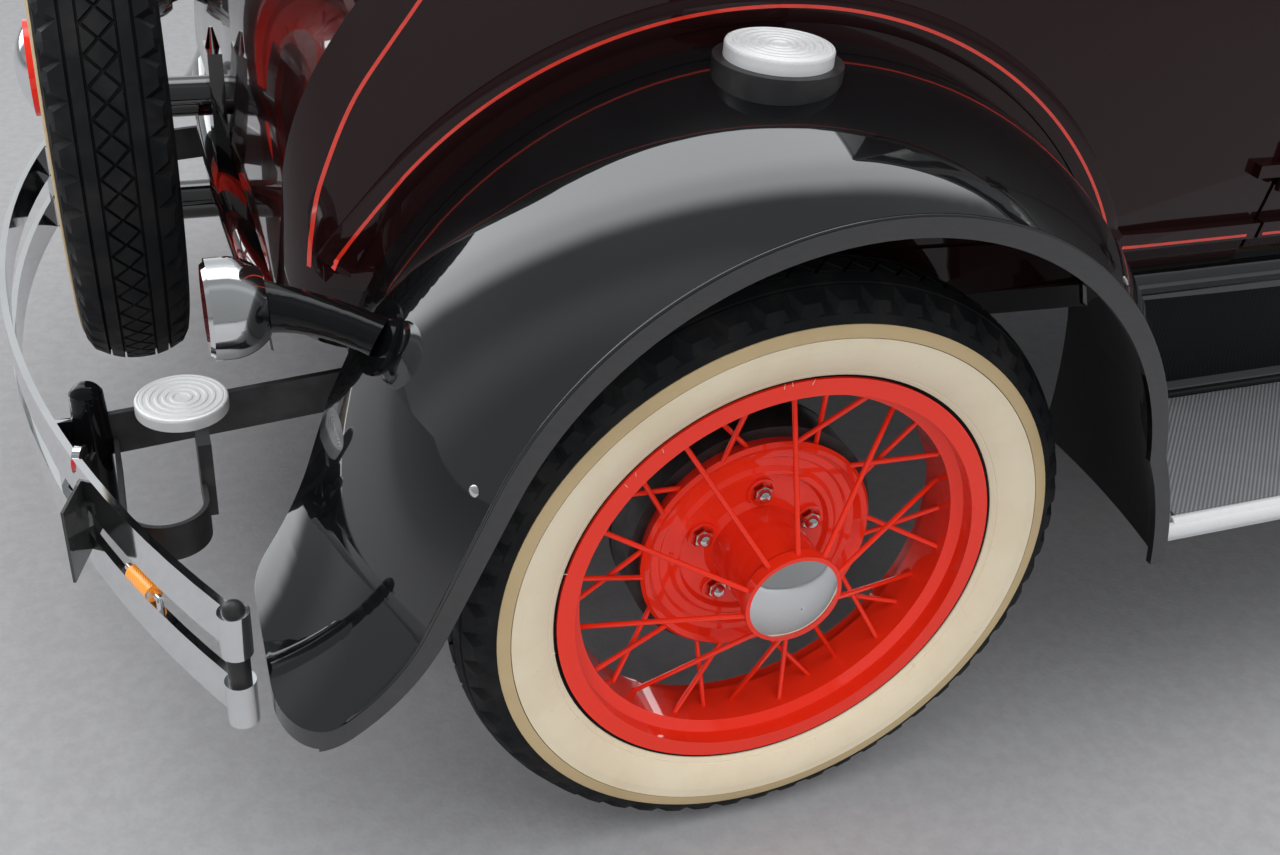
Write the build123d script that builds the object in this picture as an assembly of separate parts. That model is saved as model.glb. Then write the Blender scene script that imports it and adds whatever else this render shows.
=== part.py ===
from build123d import *
from math import asin, cos, degrees, radians, sin, sqrt, tan
import os

os.makedirs("parts", exist_ok=True)

# A closed coupe of about 1930 with a rumble seat, in millimetres.
# +X is forward, +Y is the driver's left, +Z is up, and the ground is z = 0.

# Overall layout
WHEELBASE = 2629
TRACK = 1422
REAR_AXLE_X = -1200
FRONT_AXLE_X = REAR_AXLE_X + WHEELBASE
WHEEL_Y = TRACK / 2
BUMPER_FACE_X = 1979

# Tyres and wire wheels, in wheel coordinates: s along the axle outward, r from its centre
TYRE_R = 362
TYRE_W = 126
BEAD_R = 241
BEAD_GAP = 0.3
FLANGE_R = 257
FLANGE_S = 46.5
WELL_R = 228
RIM_T = 3.5
HUB_FLANGE_R = 137
HUB_FACE_S = -30
HUB_BORE_R = 42
NOSE_R = 57
NOSE_S = 82
CAP_R = 52
CAP_RISE = 17
SPOKE_R = 3
SPOKE_PAIRS = 10
LUG_COUNT = 5
LUG_PCD = 139.7
LUG_R = 11
LUG_T = 10
LUG_DOME = 9
CUP_R = 17
CUP_H = 4

# Brakes, spindles and steering
DRUM_R = 150
DRUM_W = 55
DRUM_T = 6
SPINDLE_R = 17
SPINDLE_FIT = 0.05
PLATE_GAP = 5
PLATE_T = 4
KINGPIN_Y = 590
KINGPIN_R = 8
BOSS_R = 17
BOSS_H = 70
EAR_GAP = 5
EAR_T = 18
BOSS_Y = KINGPIN_Y - 8
PLATE_S = HUB_FACE_S - DRUM_W - PLATE_GAP
PLATE_Y = WHEEL_Y + PLATE_S
STEER_ARM = 150
STEER_ARM_INSET = 18
TIE_ROD_R = 11
TIE_ROD_Z = 285
BALL_GAP = 0.3
COLUMN_TOP = Vector(0, 330, 1120)
COLUMN_FOOT = Vector(900, 330, 545)
COLUMN_R = 19

# Frame
RAIL_Y = 400
RAIL_W = 45
RAIL_T = 5
RAIL_TOP = 570
RAIL_H = 100
REAR_MEMBER_HALF = 20
RACK_Z = 530
RACK_BOLT_Y = 600
RACK_BOLT_Z = 50
RACK_HOLE_R = 6.5
SPRING_TOP_Z = 560
SPRING_EYE_Z = 385
RAIL_REAR_X = -1300
RAIL_FRONT_X = 1490
FLOOR_T = 30
SILL_Z = RAIL_TOP + FLOOR_T
VALANCE_Y = RAIL_Y + 36

# Engine, gearbox and the front axle's wishbone
ENGINE_REAR_X = 660
ENGINE_FRONT_X = 1250
ENGINE_HALF = 150
ENGINE_TOP = 960
ENGINE_LOW = 400
BELL_REAR_X = 560
GEARBOX_REAR_X = 330
GEARBOX_Z = 440
GEARBOX_LOW = 395
WISHBONE_X = 480
WISHBONE_BALL_R = 30
WISHBONE_Z = GEARBOX_LOW - WISHBONE_BALL_R - BALL_GAP

# Body shell
WALL = 40
BODY_HALF = 622
BODY_WIDEST_X = -330
SIDE_PLAN_R = 9000
BELT_Z = 1245
COWL_FRONT_X = 560
COWL_FRONT_HALF = 440
COWL_FRONT_TOP = 1215
COWL_CORNER_R = 75
CAB_BACK_X = -901
DECK_START_SLOPE = 4
DECK_R = 1197
DECK_TURN = 31
TAIL_R = 389
TAIL_TURN = 51
DECK_START = radians(DECK_START_SLOPE)
DECK_END = radians(DECK_START_SLOPE + DECK_TURN)
TAIL_END = radians(DECK_START_SLOPE + DECK_TURN + TAIL_TURN)
DECK_END_X = CAB_BACK_X - DECK_R * (sin(DECK_END) - sin(DECK_START))
DECK_END_Z = BELT_Z - DECK_R * (cos(DECK_START) - cos(DECK_END))
TAIL_X = DECK_END_X - TAIL_R * (sin(TAIL_END) - sin(DECK_END))
TAIL_LEAN = 86
EAVE_Z = 1640
ROOF_TOP = EAVE_Z + 155
WIND_BASE_X = 312
WIND_TOP_X = 280
BELT_BAND = (BELT_Z - 34, BELT_Z - 10)
SILL_BAND = (SILL_Z + 46, SILL_Z + 68)
DRIP_BAND = (EAVE_Z + 4, EAVE_Z + 16)
BAND_PROUD = 5
FAR = 3000

# Doors, lids and windows
DOOR_FRONT_X = 230
DOOR_REAR_X = -531
DOOR_BOTTOM = SILL_Z + 20
PANEL_GAP = 6
WINDOW_BOTTOM = BELT_Z + 35
WINDOW_TOP = EAVE_Z - 45
GLASS_T = 5
GLASS_DEPTH = 18
SIDE_WINDOW = (DOOR_REAR_X + 55, DOOR_FRONT_X - 45)
QUARTER_WINDOW = (CAB_BACK_X + 76, DOOR_REAR_X - 60)
WINDSHIELD_HALF = 505
REAR_WINDOW_HALF = 330
LID_FRONT_X = CAB_BACK_X - 65
LID_REAR_X = TAIL_X + 90
LID_HALF = 430
LID_HINGE_Y = 260
HINGE_X = DOOR_REAR_X + PANEL_GAP / 2
HINGE_Y = BODY_HALF + 7
DOOR_HINGES = (740, 1180)
BARREL_R = 6
PIN_R = 3
BARREL_GAP = 0.3
HANDLE_X = DOOR_FRONT_X - 70
HANDLE_Z = BELT_Z - 105

# Fenders and running boards
BOARD_TOP = 400
BOARD_T = 28
BOARD_INNER = 575
BOARD_OUTER = 835
BOARD_FRONT_X = 802
NOSING_R = 11
BOARD_GAP = 1
APRON_T = 4
FENDER_HALF = BOARD_OUTER + 16
FENDER_T = 5
REAR_CROWN_R = 465
REAR_CROWN_X = REAR_AXLE_X + 9
REAR_CROWN_Z = 440
REAR_PEAK_Y = FENDER_HALF - 251
REAR_INNER_Y = FENDER_HALF - 316
FOOT_TURN = 12
TAIL_EDGE_X = -1748
TAIL_CORNER_R = 65
FRONT_CROWN_R = 450
FRONT_CROWN_X = FRONT_AXLE_X + 15
FRONT_CROWN_Z = 400
FRONT_PEAK_Y = FENDER_HALF - 231
CROWN_DROP = 72
FOOT_DROP = 28
LIP_DEPTH = 20
LIP_STEP = 3

# Radiator and hood
RADIATOR_REAR_X = 1330
RADIATOR_FRONT_X = 1425
RADIATOR_HALF = 280
RADIATOR_TOP = 1195
RADIATOR_CORNER_R = 110
SHELL_T = 12
HOOD_T = 8
HOOD_BOTTOM = 650
HOOD_LATCHES = (700, 1180)
HOOD_FRONT_HALF = 272
HINGE_R = 5
HINGE_REAR = Vector(COWL_FRONT_X, 0, COWL_FRONT_TOP)
HINGE_FRONT = Vector(RADIATOR_REAR_X, 0, RADIATOR_TOP - 6)
HEADLAMP_X = RADIATOR_FRONT_X + 65
HEADLAMP_Y = 375
HEADLAMP_Z = 935
HEADLAMP_R = 120
LAMP_BAR_Z = 780

# Bumpers
BAR_H = 50
BAR_T = 8
UPPER_BAR_Z = 405
LOWER_BAR_Z = 320
BUMPER_HALF = 767
BUMPER_PLAN_R = 1560
FRONT_BUMPER_R = 3500
EYE_R = 15
SPACER_R = 11
ARM_T = 8
BUMPER_ARM_Y = RAIL_Y
BUMPER_ARM_OUT = BUMPER_ARM_Y + ARM_T
MARKER_Y = 616
MARKER_R = 10
MARKER_LENS_HALF = 21
MARKER_STEM_HALF = 34
BLANK_PLATE = (3, 110, 90)
BLANK_PLATE_Y = -500
REFLECTOR_R = 16
CLAMP_R = 22

# Steps, tail lamps and the spare wheel
FENDER_STEP = (-1234, -655, 910)
BUMPER_STEP = (-1787, -441, 476)
STEP_R = 52
STEP_BASE_R = 62
STEP_T = 12
STRAP_BEND_R = 44
STRAP_T = 5
TAIL_LAMP = (-1759, 550, 650)
TAIL_LAMP_R = 50
TAIL_LAMP_ROOT = Vector(-1600, 630, 642)
TAIL_LAMP_FOOT_R = 38
SPARE_X = -1821
SPARE_Z = 710
MOUNT_R = 95
POST_HALF = 35
CARRIER_TUBE_R = 25


def block(x0, x1, y0, y1, z0, z1):
    """Box between two corners."""
    size = Box(abs(x1 - x0), abs(y1 - y0), abs(z1 - z0))
    return Pos((x0 + x1) / 2, (y0 + y1) / 2, (z0 + z1) / 2) * size


def rod(start, end, radius):
    """Round bar between two points."""
    a = Vector(*start)
    b = Vector(*end)
    return extrude(Plane(origin=a, z_dir=b - a) * Circle(radius), amount=(b - a).length)


def turned(points):
    """Ring turned about the Y axis from (s, r) points."""
    return revolve(Plane.YZ * make_face(Polyline(*points, close=True)), Axis.Y)


def side_plate(points, y0, y1):
    """Plate cut to an (x, z) outline between two y values."""
    face = Plane.XZ * make_face(Polyline(*points, close=True))
    return Pos(0, y1, 0) * extrude(face, amount=y1 - y0)


def cross_plate(points, x0, x1):
    """Bar with a (y, z) outline between two x values."""
    face = Plane.YZ * make_face(Polyline(*points, close=True))
    return Pos(x0, 0, 0) * extrude(face, amount=x1 - x0)


def other_side(part):
    return mirror(part, about=Plane.XZ)


def both_sides(part):
    return part + other_side(part)


def save(name, part):
    solids = part.solids()
    export_step(Compound(children=solids) if len(solids) > 1 else solids[0], f"parts/{name}.step")


# Wheels

def tyre():
    half = TYRE_W / 2
    bead = FLANGE_S - 1.5
    shoulder = TYRE_R - 16
    inner = BEAD_R + BEAD_GAP
    wall = ThreePointArc((bead, FLANGE_R), (half, 300), (half - 11, shoulder))
    tread = ThreePointArc((half - 11, shoulder), (0, TYRE_R), (11 - half, shoulder))
    far = ThreePointArc((11 - half, shoulder), (-half, 300), (-bead, FLANGE_R))
    base = Polyline((-bead, FLANGE_R), (-bead, inner), (bead, inner), (bead, FLANGE_R))
    return revolve(Plane.YZ * make_face(wall + tread + far + base), Axis.Y)


def rim():
    lip = FLANGE_S + RIM_T
    outer = [(-lip, FLANGE_R), (-FLANGE_S, FLANGE_R), (-FLANGE_S, BEAD_R), (-30, BEAD_R), (-24, WELL_R)]
    outer += [(24, WELL_R), (30, BEAD_R), (FLANGE_S, BEAD_R), (FLANGE_S, FLANGE_R), (lip, FLANGE_R)]
    inner = [(lip, BEAD_R - RIM_T), (32, BEAD_R - RIM_T), (26, WELL_R - RIM_T)]
    inner += [(-26, WELL_R - RIM_T), (-32, BEAD_R - RIM_T), (-lip, BEAD_R - RIM_T)]
    return turned(outer + inner)


def hub_shell():
    """Pressed flange with stepped rings, and the nose that carries the front spokes."""
    face = HUB_FACE_S
    edge = HUB_FLANGE_R
    outer = [(face, HUB_BORE_R), (face, edge), (face + 16, edge + 4), (face + 20, edge), (face + 17, edge - 6)]
    outer += [(face + 9, edge - 12), (face + 9, edge - 20), (face + 6, edge - 23), (face + 6, edge - 33)]
    outer += [(face + 10, edge - 38), (face + 10, edge - 44), (face + 4, edge - 48), (face + 4, NOSE_R + 3)]
    outer += [(face + 12, NOSE_R - 3), (NOSE_S - 22, NOSE_R - 6), (NOSE_S - 14, NOSE_R), (NOSE_S, NOSE_R)]
    return turned(outer + [(NOSE_S, HUB_BORE_R)])


def hub_cap():
    ball_r = (CAP_R ** 2 + CAP_RISE ** 2) / (2 * CAP_RISE)
    middle = NOSE_S + CAP_RISE - ball_r
    half = asin(CAP_R / ball_r) / 2
    dome = ThreePointArc((NOSE_S, CAP_R), (middle + ball_r * cos(half), ball_r * sin(half)), (NOSE_S + CAP_RISE, 0))
    base = Polyline((NOSE_S + CAP_RISE, 0), (NOSE_S, 0), (NOSE_S, CAP_R))
    return revolve(Plane.YZ * make_face(dome + base), Axis.Y)


def wheel_point(s, r, angle):
    return (r * cos(radians(angle)), s, r * sin(radians(angle)))


def spokes():
    """Spoke rows: inner (s, r), outer (s, r), turn at the hub, turn at the rim, first angle."""
    rows = (
        ((NOSE_S - 8, NOSE_R - 2), (-6, WELL_R - 2), 0, 2, 18),
        ((HUB_FACE_S + 15, HUB_FLANGE_R), (14, WELL_R - 2), -7, 6, 0),
        ((HUB_FACE_S + 8, HUB_FLANGE_R), (0, WELL_R - 2), 7, -6, 0),
    )
    bars = []
    for inner, outer, hub_turn, rim_turn, first in rows:
        for i in range(SPOKE_PAIRS):
            angle = first + 360 * i / SPOKE_PAIRS
            bars.append(rod(wheel_point(*inner, angle + hub_turn), wheel_point(*outer, angle + rim_turn), SPOKE_R))
    return bars


def lug_places():
    return [wheel_point(HUB_FACE_S + 4, LUG_PCD / 2, 360 * i / LUG_COUNT + 90) for i in range(LUG_COUNT)]


def lug_nuts():
    """Acorn nuts: hexagon with a domed end, in a low cup."""
    nuts = []
    for spot in lug_places():
        plane = Plane(origin=spot, z_dir=(0, 1, 0))
        nuts.append(extrude(plane * (Circle(CUP_R) - Circle(CUP_R - 3)), amount=CUP_H))
        nuts.append(extrude(plane * RegularPolygon(LUG_R, 6), amount=LUG_T))
        nuts.append(Pos(spot[0], spot[1] + LUG_T, spot[2]) * Sphere(LUG_DOME))
    return nuts


def wire_wheel():
    return hub_shell() + [rim(), hub_cap()] + spokes() + lug_nuts()


def brake_drum():
    face = HUB_FACE_S
    bore = SPINDLE_R + SPINDLE_FIT
    hub = HUB_BORE_R - 4
    inner = DRUM_R - DRUM_T
    points = [(face - 30, bore), (NOSE_S - 6, bore), (NOSE_S - 6, hub), (face, hub), (face, DRUM_R)]
    points += [(face - DRUM_W, DRUM_R), (face - DRUM_W, inner), (face - DRUM_T, inner)]
    points += [(face - DRUM_T, hub), (face - 30, hub)]
    return turned(points)


# The wheel stations: name, axle x, side
STATIONS = (
    ("front_left", FRONT_AXLE_X, 1),
    ("front_right", FRONT_AXLE_X, -1),
    ("rear_left", REAR_AXLE_X, 1),
    ("rear_right", REAR_AXLE_X, -1),
)


def save_wheels():
    pieces = (("tyre", tyre()), ("wire_wheel", wire_wheel()), ("brake_drum", brake_drum()))
    for piece, part in pieces:
        for station, x, side in STATIONS:
            turn = 0 if side > 0 else 180
            save(f"{piece}_{station}", Pos(x, side * WHEEL_Y, TYRE_R) * Rot(0, 0, turn) * part)
        if piece != "brake_drum":
            save(f"spare_{piece}", Pos(SPARE_X, 0, SPARE_Z) * Rot(0, 0, 90) * part)


# Axles, brakes and steering

def spindle(x, root_y):
    """Backing plate and spindle on the left side."""
    tip = WHEEL_Y + NOSE_S - 13
    points = [(root_y, 0), (root_y, SPINDLE_R), (PLATE_Y - PLATE_T, SPINDLE_R), (PLATE_Y - PLATE_T, DRUM_R)]
    points += [(PLATE_Y, DRUM_R), (PLATE_Y, SPINDLE_R), (tip, SPINDLE_R), (tip, 0)]
    return Pos(x, 0, TYRE_R) * turned(points)


def spring(x, eye_y):
    """Transverse leaf spring under a cross member."""
    leaf = 12
    eye_z = SPRING_EYE_Z
    top = ThreePointArc((-eye_y, eye_z), (0, SPRING_TOP_Z), (eye_y, eye_z))
    low = ThreePointArc((-eye_y, eye_z - leaf), (0, SPRING_TOP_Z - 3 * leaf), (eye_y, eye_z - leaf))
    ends = Line((eye_y, eye_z), (eye_y, eye_z - leaf)) + Line((-eye_y, eye_z - leaf), (-eye_y, eye_z))
    face = Plane.YZ * make_face(top + low + ends)
    return Pos(x - 28, 0, 0) * extrude(face, amount=56)


def rear_axle():
    """Axle housing turned in one piece with both spindles, torque tube and spring."""
    tube_r = 40
    banjo_r = 120
    tip = WHEEL_Y + NOSE_S - 13
    half = [(45, banjo_r), (205, tube_r), (PLATE_Y - PLATE_T, tube_r), (PLATE_Y - PLATE_T, DRUM_R)]
    half += [(PLATE_Y, DRUM_R), (PLATE_Y, SPINDLE_R), (tip, SPINDLE_R), (tip, 0)]
    other = [(-y, r) for y, r in reversed(half)]
    part = Pos(REAR_AXLE_X, 0, TYRE_R) * turned(other + half)
    torque = rod((REAR_AXLE_X, 0, TYRE_R), (GEARBOX_REAR_X + 20, 0, GEARBOX_Z), tube_r)
    part += torque - block(GEARBOX_REAR_X, FAR, -FAR, FAR, 0, FAR)
    part += spring(REAR_AXLE_X, 520)
    hanger = block(REAR_AXLE_X - 15, REAR_AXLE_X + 15, 505, 535, TYRE_R, SPRING_EYE_Z - 2)
    return part + hanger + other_side(hanger)


def front_axle():
    x = FRONT_AXLE_X
    half = 22
    low = 300
    depth = 45
    end_low = TYRE_R - depth / 2
    outline = [(-BOSS_Y, end_low), (-500, end_low), (-400, low), (400, low), (500, end_low), (BOSS_Y, end_low)]
    top = [(y, z + depth) for y, z in reversed(outline)]
    beam = cross_plate(outline + top, x - half, x + half)
    boss = rod((x, KINGPIN_Y, TYRE_R - BOSS_H / 2), (x, KINGPIN_Y, TYRE_R + BOSS_H / 2), BOSS_R)
    perch = block(x - 15, x + 15, 485, 515, TYRE_R, SPRING_EYE_Z)
    radius_rod = rod((x - 10, 470, 330), (WISHBONE_X, 14, WISHBONE_Z), 13)
    ball = Pos(WISHBONE_X, 0, WISHBONE_Z) * Sphere(WISHBONE_BALL_R)
    bore = rod((x, KINGPIN_Y, 200), (x, KINGPIN_Y, 500), KINGPIN_R + SPINDLE_FIT)
    leaf = spring(x, 505)
    return beam + [leaf, ball] + both_sides(boss + perch + radius_rod) - bore - other_side(bore)


def knuckle():
    x = FRONT_AXLE_X
    ear_in = KINGPIN_Y - 20
    web_y = KINGPIN_Y + BOSS_R + EAR_GAP
    plate_in = PLATE_Y - PLATE_T
    top = TYRE_R + BOSS_H / 2 + EAR_GAP
    low = TYRE_R - BOSS_H / 2 - EAR_GAP
    part = block(x - 22, x + 22, ear_in, plate_in, top, top + EAR_T)
    part += block(x - 22, x + 22, ear_in, plate_in, low - EAR_T, low)
    part += block(x - 25, x + 25, web_y, plate_in, low - EAR_T, top + EAR_T)
    part += rod((x, KINGPIN_Y, low - EAR_T), (x, KINGPIN_Y, top + EAR_T), KINGPIN_R)
    part += spindle(x, plate_in - 2)
    arm_z = low - EAR_T
    eye = (x - STEER_ARM, KINGPIN_Y - STEER_ARM_INSET)
    part += rod((x - 10, KINGPIN_Y, arm_z + 7), (*eye, arm_z + 7), 7)
    part += rod((*eye, arm_z), (*eye, arm_z + 14), 14)
    return part


def tie_rod():
    x = FRONT_AXLE_X - STEER_ARM
    y = KINGPIN_Y - STEER_ARM_INSET
    arm_z = TYRE_R - BOSS_H / 2 - EAR_GAP - EAR_T
    bar = rod((x, -y, TIE_ROD_Z), (x, y, TIE_ROD_Z), TIE_ROD_R)
    stud = rod((x, y, TIE_ROD_Z), (x, y, arm_z - BALL_GAP), 8)
    return bar + both_sides(stud + Pos(x, y, TIE_ROD_Z) * Sphere(15))


def along_column(distance):
    """Point on the steering column, measured down from the steering wheel."""
    way = (COLUMN_FOOT - COLUMN_TOP).normalized()
    return COLUMN_TOP + way * distance


def steering_column():
    head = along_column(30)
    jacket = rod(head, COLUMN_FOOT, COLUMN_R)
    box = block(850, 950, 290, RAIL_Y - RAIL_T, 480, 562)
    return jacket + box


def steering_wheel():
    way = (COLUMN_FOOT - COLUMN_TOP).normalized()
    plane = Plane(origin=COLUMN_TOP, x_dir=(0, 1, 0), z_dir=way)
    rim_r = 210
    grip = plane * Torus(rim_r, 11)
    hub = rod(along_column(-14), along_column(29.7), 26)
    part = grip + hub
    for i in range(4):
        angle = radians(45 + 90 * i)
        tip = plane.from_local_coords((rim_r * cos(angle), rim_r * sin(angle), 0))
        part += rod(COLUMN_TOP, tip, 7)
    return part


# Frame, engine and exhaust

def rail():
    """Left channel rail, open towards the middle."""
    y0 = RAIL_Y - RAIL_W
    low = RAIL_TOP - RAIL_H
    web = block(RAIL_REAR_X, RAIL_FRONT_X, RAIL_Y - RAIL_T, RAIL_Y, low, RAIL_TOP)
    top = block(RAIL_REAR_X, RAIL_FRONT_X, y0, RAIL_Y, RAIL_TOP - RAIL_T, RAIL_TOP)
    base = block(RAIL_REAR_X, RAIL_FRONT_X, y0, RAIL_Y, low, low + RAIL_T)
    return web + top + base


def frame_chassis():
    """Rails with cross members: x centre, half width, bottom z."""
    members = (
        (FRONT_AXLE_X, 35, SPRING_TOP_Z),
        (450, 30, RAIL_TOP - 30),
        (-450, 30, RAIL_TOP - 30),
        (REAR_AXLE_X, 35, SPRING_TOP_Z),
        (RAIL_REAR_X + REAR_MEMBER_HALF, REAR_MEMBER_HALF, RAIL_TOP - 80),
    )
    inner = RAIL_Y - RAIL_T
    part = both_sides(rail())
    for x, half, low in members:
        part += block(x - half, x + half, -inner, inner, low, RAIL_TOP)
    for x in (ENGINE_REAR_X + 60, ENGINE_FRONT_X - 60):
        part += both_sides(block(x - 25, x + 25, ENGINE_HALF, inner, 500, 540))
    for x in (FRONT_AXLE_X, REAR_AXLE_X):
        part -= both_sides(block(x - 33, x + 33, 300, inner, 400, RAIL_TOP - RAIL_H + RAIL_T))
    part += both_sides(block(FRONT_AXLE_X - 30, FRONT_AXLE_X + 30, inner, VALANCE_Y, RAIL_TOP - 15, RAIL_TOP))
    for y in (-RACK_BOLT_Y / 2, RACK_BOLT_Y / 2):
        for z in (RACK_Z - RACK_BOLT_Z / 2, RACK_Z + RACK_BOLT_Z / 2):
            part -= rod((RAIL_REAR_X - 1, y, z), (RAIL_REAR_X + 3 * REAR_MEMBER_HALF, y, z), RACK_HOLE_R)
    for x in (-450, 250):
        part += both_sides(block(x - 20, x + 20, RAIL_Y, RAIL_Y + 6, BOARD_TOP - BOARD_T - 10, RAIL_TOP - 10))
        part += both_sides(block(x - 20, x + 20, RAIL_Y, 800, BOARD_TOP - BOARD_T - 10, BOARD_TOP - BOARD_T))
    return part


def engine_block():
    """Plain engine mass with its gearbox behind."""
    block_part = block(ENGINE_REAR_X, ENGINE_FRONT_X, -ENGINE_HALF, ENGINE_HALF, ENGINE_LOW, ENGINE_TOP)
    bell = block(560, ENGINE_REAR_X, -120, 120, 400, 540)
    box = block(GEARBOX_REAR_X, 560, -75, 75, GEARBOX_LOW, 530)
    return block_part + bell + box


def exhaust():
    y = -250
    z = 437
    pipe_r = 18
    x = 900
    route = FilletPolyline((x, -ENGINE_HALF, 620), (x, y, 620), (x - 180, y, z), (-20, y, z), radius=40)
    start = Plane(origin=(x, -ENGINE_HALF, 620), z_dir=(0, -1, 0))
    pipe = sweep(start * Circle(pipe_r), path=route)
    muffler = rod((-20, y, z), (-420 + 60, y, z), 62)
    tail = rod((-360, y, z), (-1090, y, z), pipe_r)
    hanger = block(-458, -442, y - 8, y + 8, z + 10, RAIL_TOP - 30)
    return pipe + [muffler, tail, hanger]


# Body shell

def plan_half(x):
    """Half width of the body side at x behind the cowl."""
    return BODY_HALF - SIDE_PLAN_R + sqrt(SIDE_PLAN_R ** 2 - (x - BODY_WIDEST_X) ** 2)


def body_plan(inset=0, back=TAIL_X - 10, corner=115):
    """Plan outline between the cowl front and the back, with round rear corners."""
    side_end = back + corner
    y_side = plan_half(side_end)
    y_door = plan_half(DOOR_FRONT_X)
    mid = (COWL_FRONT_X + DOOR_FRONT_X) / 2
    bend = corner * 0.293
    cowl = ThreePointArc((COWL_FRONT_X, COWL_FRONT_HALF), (mid, 546), (DOOR_FRONT_X, y_door))
    side = ThreePointArc((DOOR_FRONT_X, y_door), (BODY_WIDEST_X, BODY_HALF), (side_end, y_side))
    turn = ThreePointArc((side_end, y_side), (back + bend, y_side - bend), (back, y_side - corner))
    half = cowl + side + turn
    ends = Line((COWL_FRONT_X, -COWL_FRONT_HALF), (COWL_FRONT_X, COWL_FRONT_HALF))
    ends += Line((back, y_side - corner), (back, corner - y_side))
    face = make_face(half + mirror(half, about=Plane.XZ) + ends)
    return offset(face, amount=-inset) if inset else face


def deck_line(start):
    """Deck from the cab back down to the tail, as two tangent arcs."""
    slope = radians(180 + DECK_START_SLOPE)
    upper = JernArc(start, (cos(slope), sin(slope)), DECK_R, DECK_TURN)
    return upper + JernArc(upper @ 1, upper % 1, TAIL_R, TAIL_TURN)


def tub_side(inset=0, bottom=SILL_Z):
    """Side outline of the body below the belt, from the door post back."""
    start = (CAB_BACK_X, BELT_Z)
    deck = deck_line(start)
    end = deck @ 1
    foot = end.X - (end.Y - bottom) / tan(radians(TAIL_LEAN))
    rest = Polyline((end.X, end.Y), (foot, bottom), (DOOR_FRONT_X + 1, bottom), (DOOR_FRONT_X + 1, BELT_Z), start)
    face = Plane.XZ * make_face(deck + rest)
    return offset(face, amount=-inset) if inset else face


def cab_side(inset=0):
    """Side outline of the cab from inside the tub up to the roof."""
    low = BELT_Z - 345
    top = EAVE_Z + 88
    front = Polyline((CAB_BACK_X, low), (WIND_BASE_X, low), (WIND_BASE_X, BELT_Z), (WIND_TOP_X, EAVE_Z))
    brow = ThreePointArc((WIND_TOP_X, EAVE_Z), (WIND_TOP_X - 8, EAVE_Z + 52), (WIND_TOP_X - 55, top))
    crown = ThreePointArc((WIND_TOP_X - 55, top), (-280, ROOF_TOP), (CAB_BACK_X + 141, top))
    back = ThreePointArc((CAB_BACK_X + 141, top), (CAB_BACK_X + 63, EAVE_Z + 36), (CAB_BACK_X + 33, EAVE_Z - 60))
    rest = Line((CAB_BACK_X + 33, EAVE_Z - 60), (CAB_BACK_X, BELT_Z)) + Line((CAB_BACK_X, BELT_Z), (CAB_BACK_X, low))
    face = Plane.XZ * make_face(front + brow + crown + back + rest)
    return offset(face, amount=-inset) if inset else face


def body_front(inset=0, bottom=SILL_Z):
    """Front outline: sides that tuck in at the sill and lean in above the belt."""
    sill_y = BODY_HALF - 26
    belt_y = BODY_HALF - 10
    eave = (BODY_HALF - 42, EAVE_Z - 30)
    edge = (BODY_HALF - 124, EAVE_Z + 88)
    low = Line((-sill_y, bottom), (sill_y, bottom))
    side = ThreePointArc((sill_y, bottom), (BODY_HALF + 12, 960), (belt_y, BELT_Z)) + Line((belt_y, BELT_Z), eave)
    corner = ThreePointArc(eave, (BODY_HALF - 62, EAVE_Z + 42), edge)
    half = side + corner
    crown = ThreePointArc(edge, (0, ROOF_TOP), (-edge[0], edge[1]))
    face = Plane.YZ * make_face(low + half + mirror(half, about=Plane.YZ) + crown)
    return offset(face, amount=-inset) if inset else face


def hood_outline(x, half, top, bottom, corner, inset=0):
    """Section of hood or cowl at x: upright sides, round shoulders, low crown."""
    w = half - inset
    t = top - inset
    r = corner - inset
    drop = 26
    side = Line((w, bottom), (w, t - drop - r))
    bend = ThreePointArc((w, t - drop - r), (w - 0.293 * r, t - drop - 0.293 * r), (w - r, t - drop))
    half_line = side + bend
    crown = ThreePointArc((w - r, t - drop), (0, t), (r - w, t - drop))
    base = Line((-w, bottom), (w, bottom))
    face = make_face(half_line + mirror(half_line, about=Plane.YZ) + crown + base)
    return Plane(origin=(x, 0, 0), x_dir=(0, 1, 0), z_dir=(1, 0, 0)) * face


def cowl_form(inset=0):
    """Cowl lofted from the hood line back to the door posts."""
    low = SILL_Z - 2 * inset
    front_x = COWL_FRONT_X - inset
    rows = ((front_x, COWL_FRONT_HALF + inset * 0.4, COWL_FRONT_TOP), (395, 546, 1232), (DOOR_FRONT_X, 604, BELT_Z + 2))
    faces = [hood_outline(x, half, top, low, COWL_CORNER_R, inset) for x, half, top in rows]
    return loft(faces)


def body_form(inset=0, bottom=SILL_Z):
    """Outer body solid, or its inset copy."""
    low = bottom if inset == 0 else bottom - inset - 60
    wide = 800
    front = extrude(body_front(inset, low), amount=2400, both=True)
    tub = extrude(tub_side(inset, low), amount=wide, both=True) & extrude(body_plan(inset), amount=2000)
    cab = extrude(cab_side(inset), amount=wide, both=True)
    cab = cab & extrude(body_plan(inset, CAB_BACK_X, 130), amount=2000)
    return (tub + cab) & front


def body_shell():
    outer = body_form() + cowl_form()
    inner = body_form(WALL) + cowl_form(WALL)
    well = block(DOOR_FRONT_X - 60, DOOR_FRONT_X + 50, -BOARD_INNER - 15, BOARD_INNER + 15, SILL_Z - 100, BELT_Z - 50)
    inner += extrude(body_plan(WALL, CAB_BACK_X), amount=1000) & well
    return outer + body_bands() - inner


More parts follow.
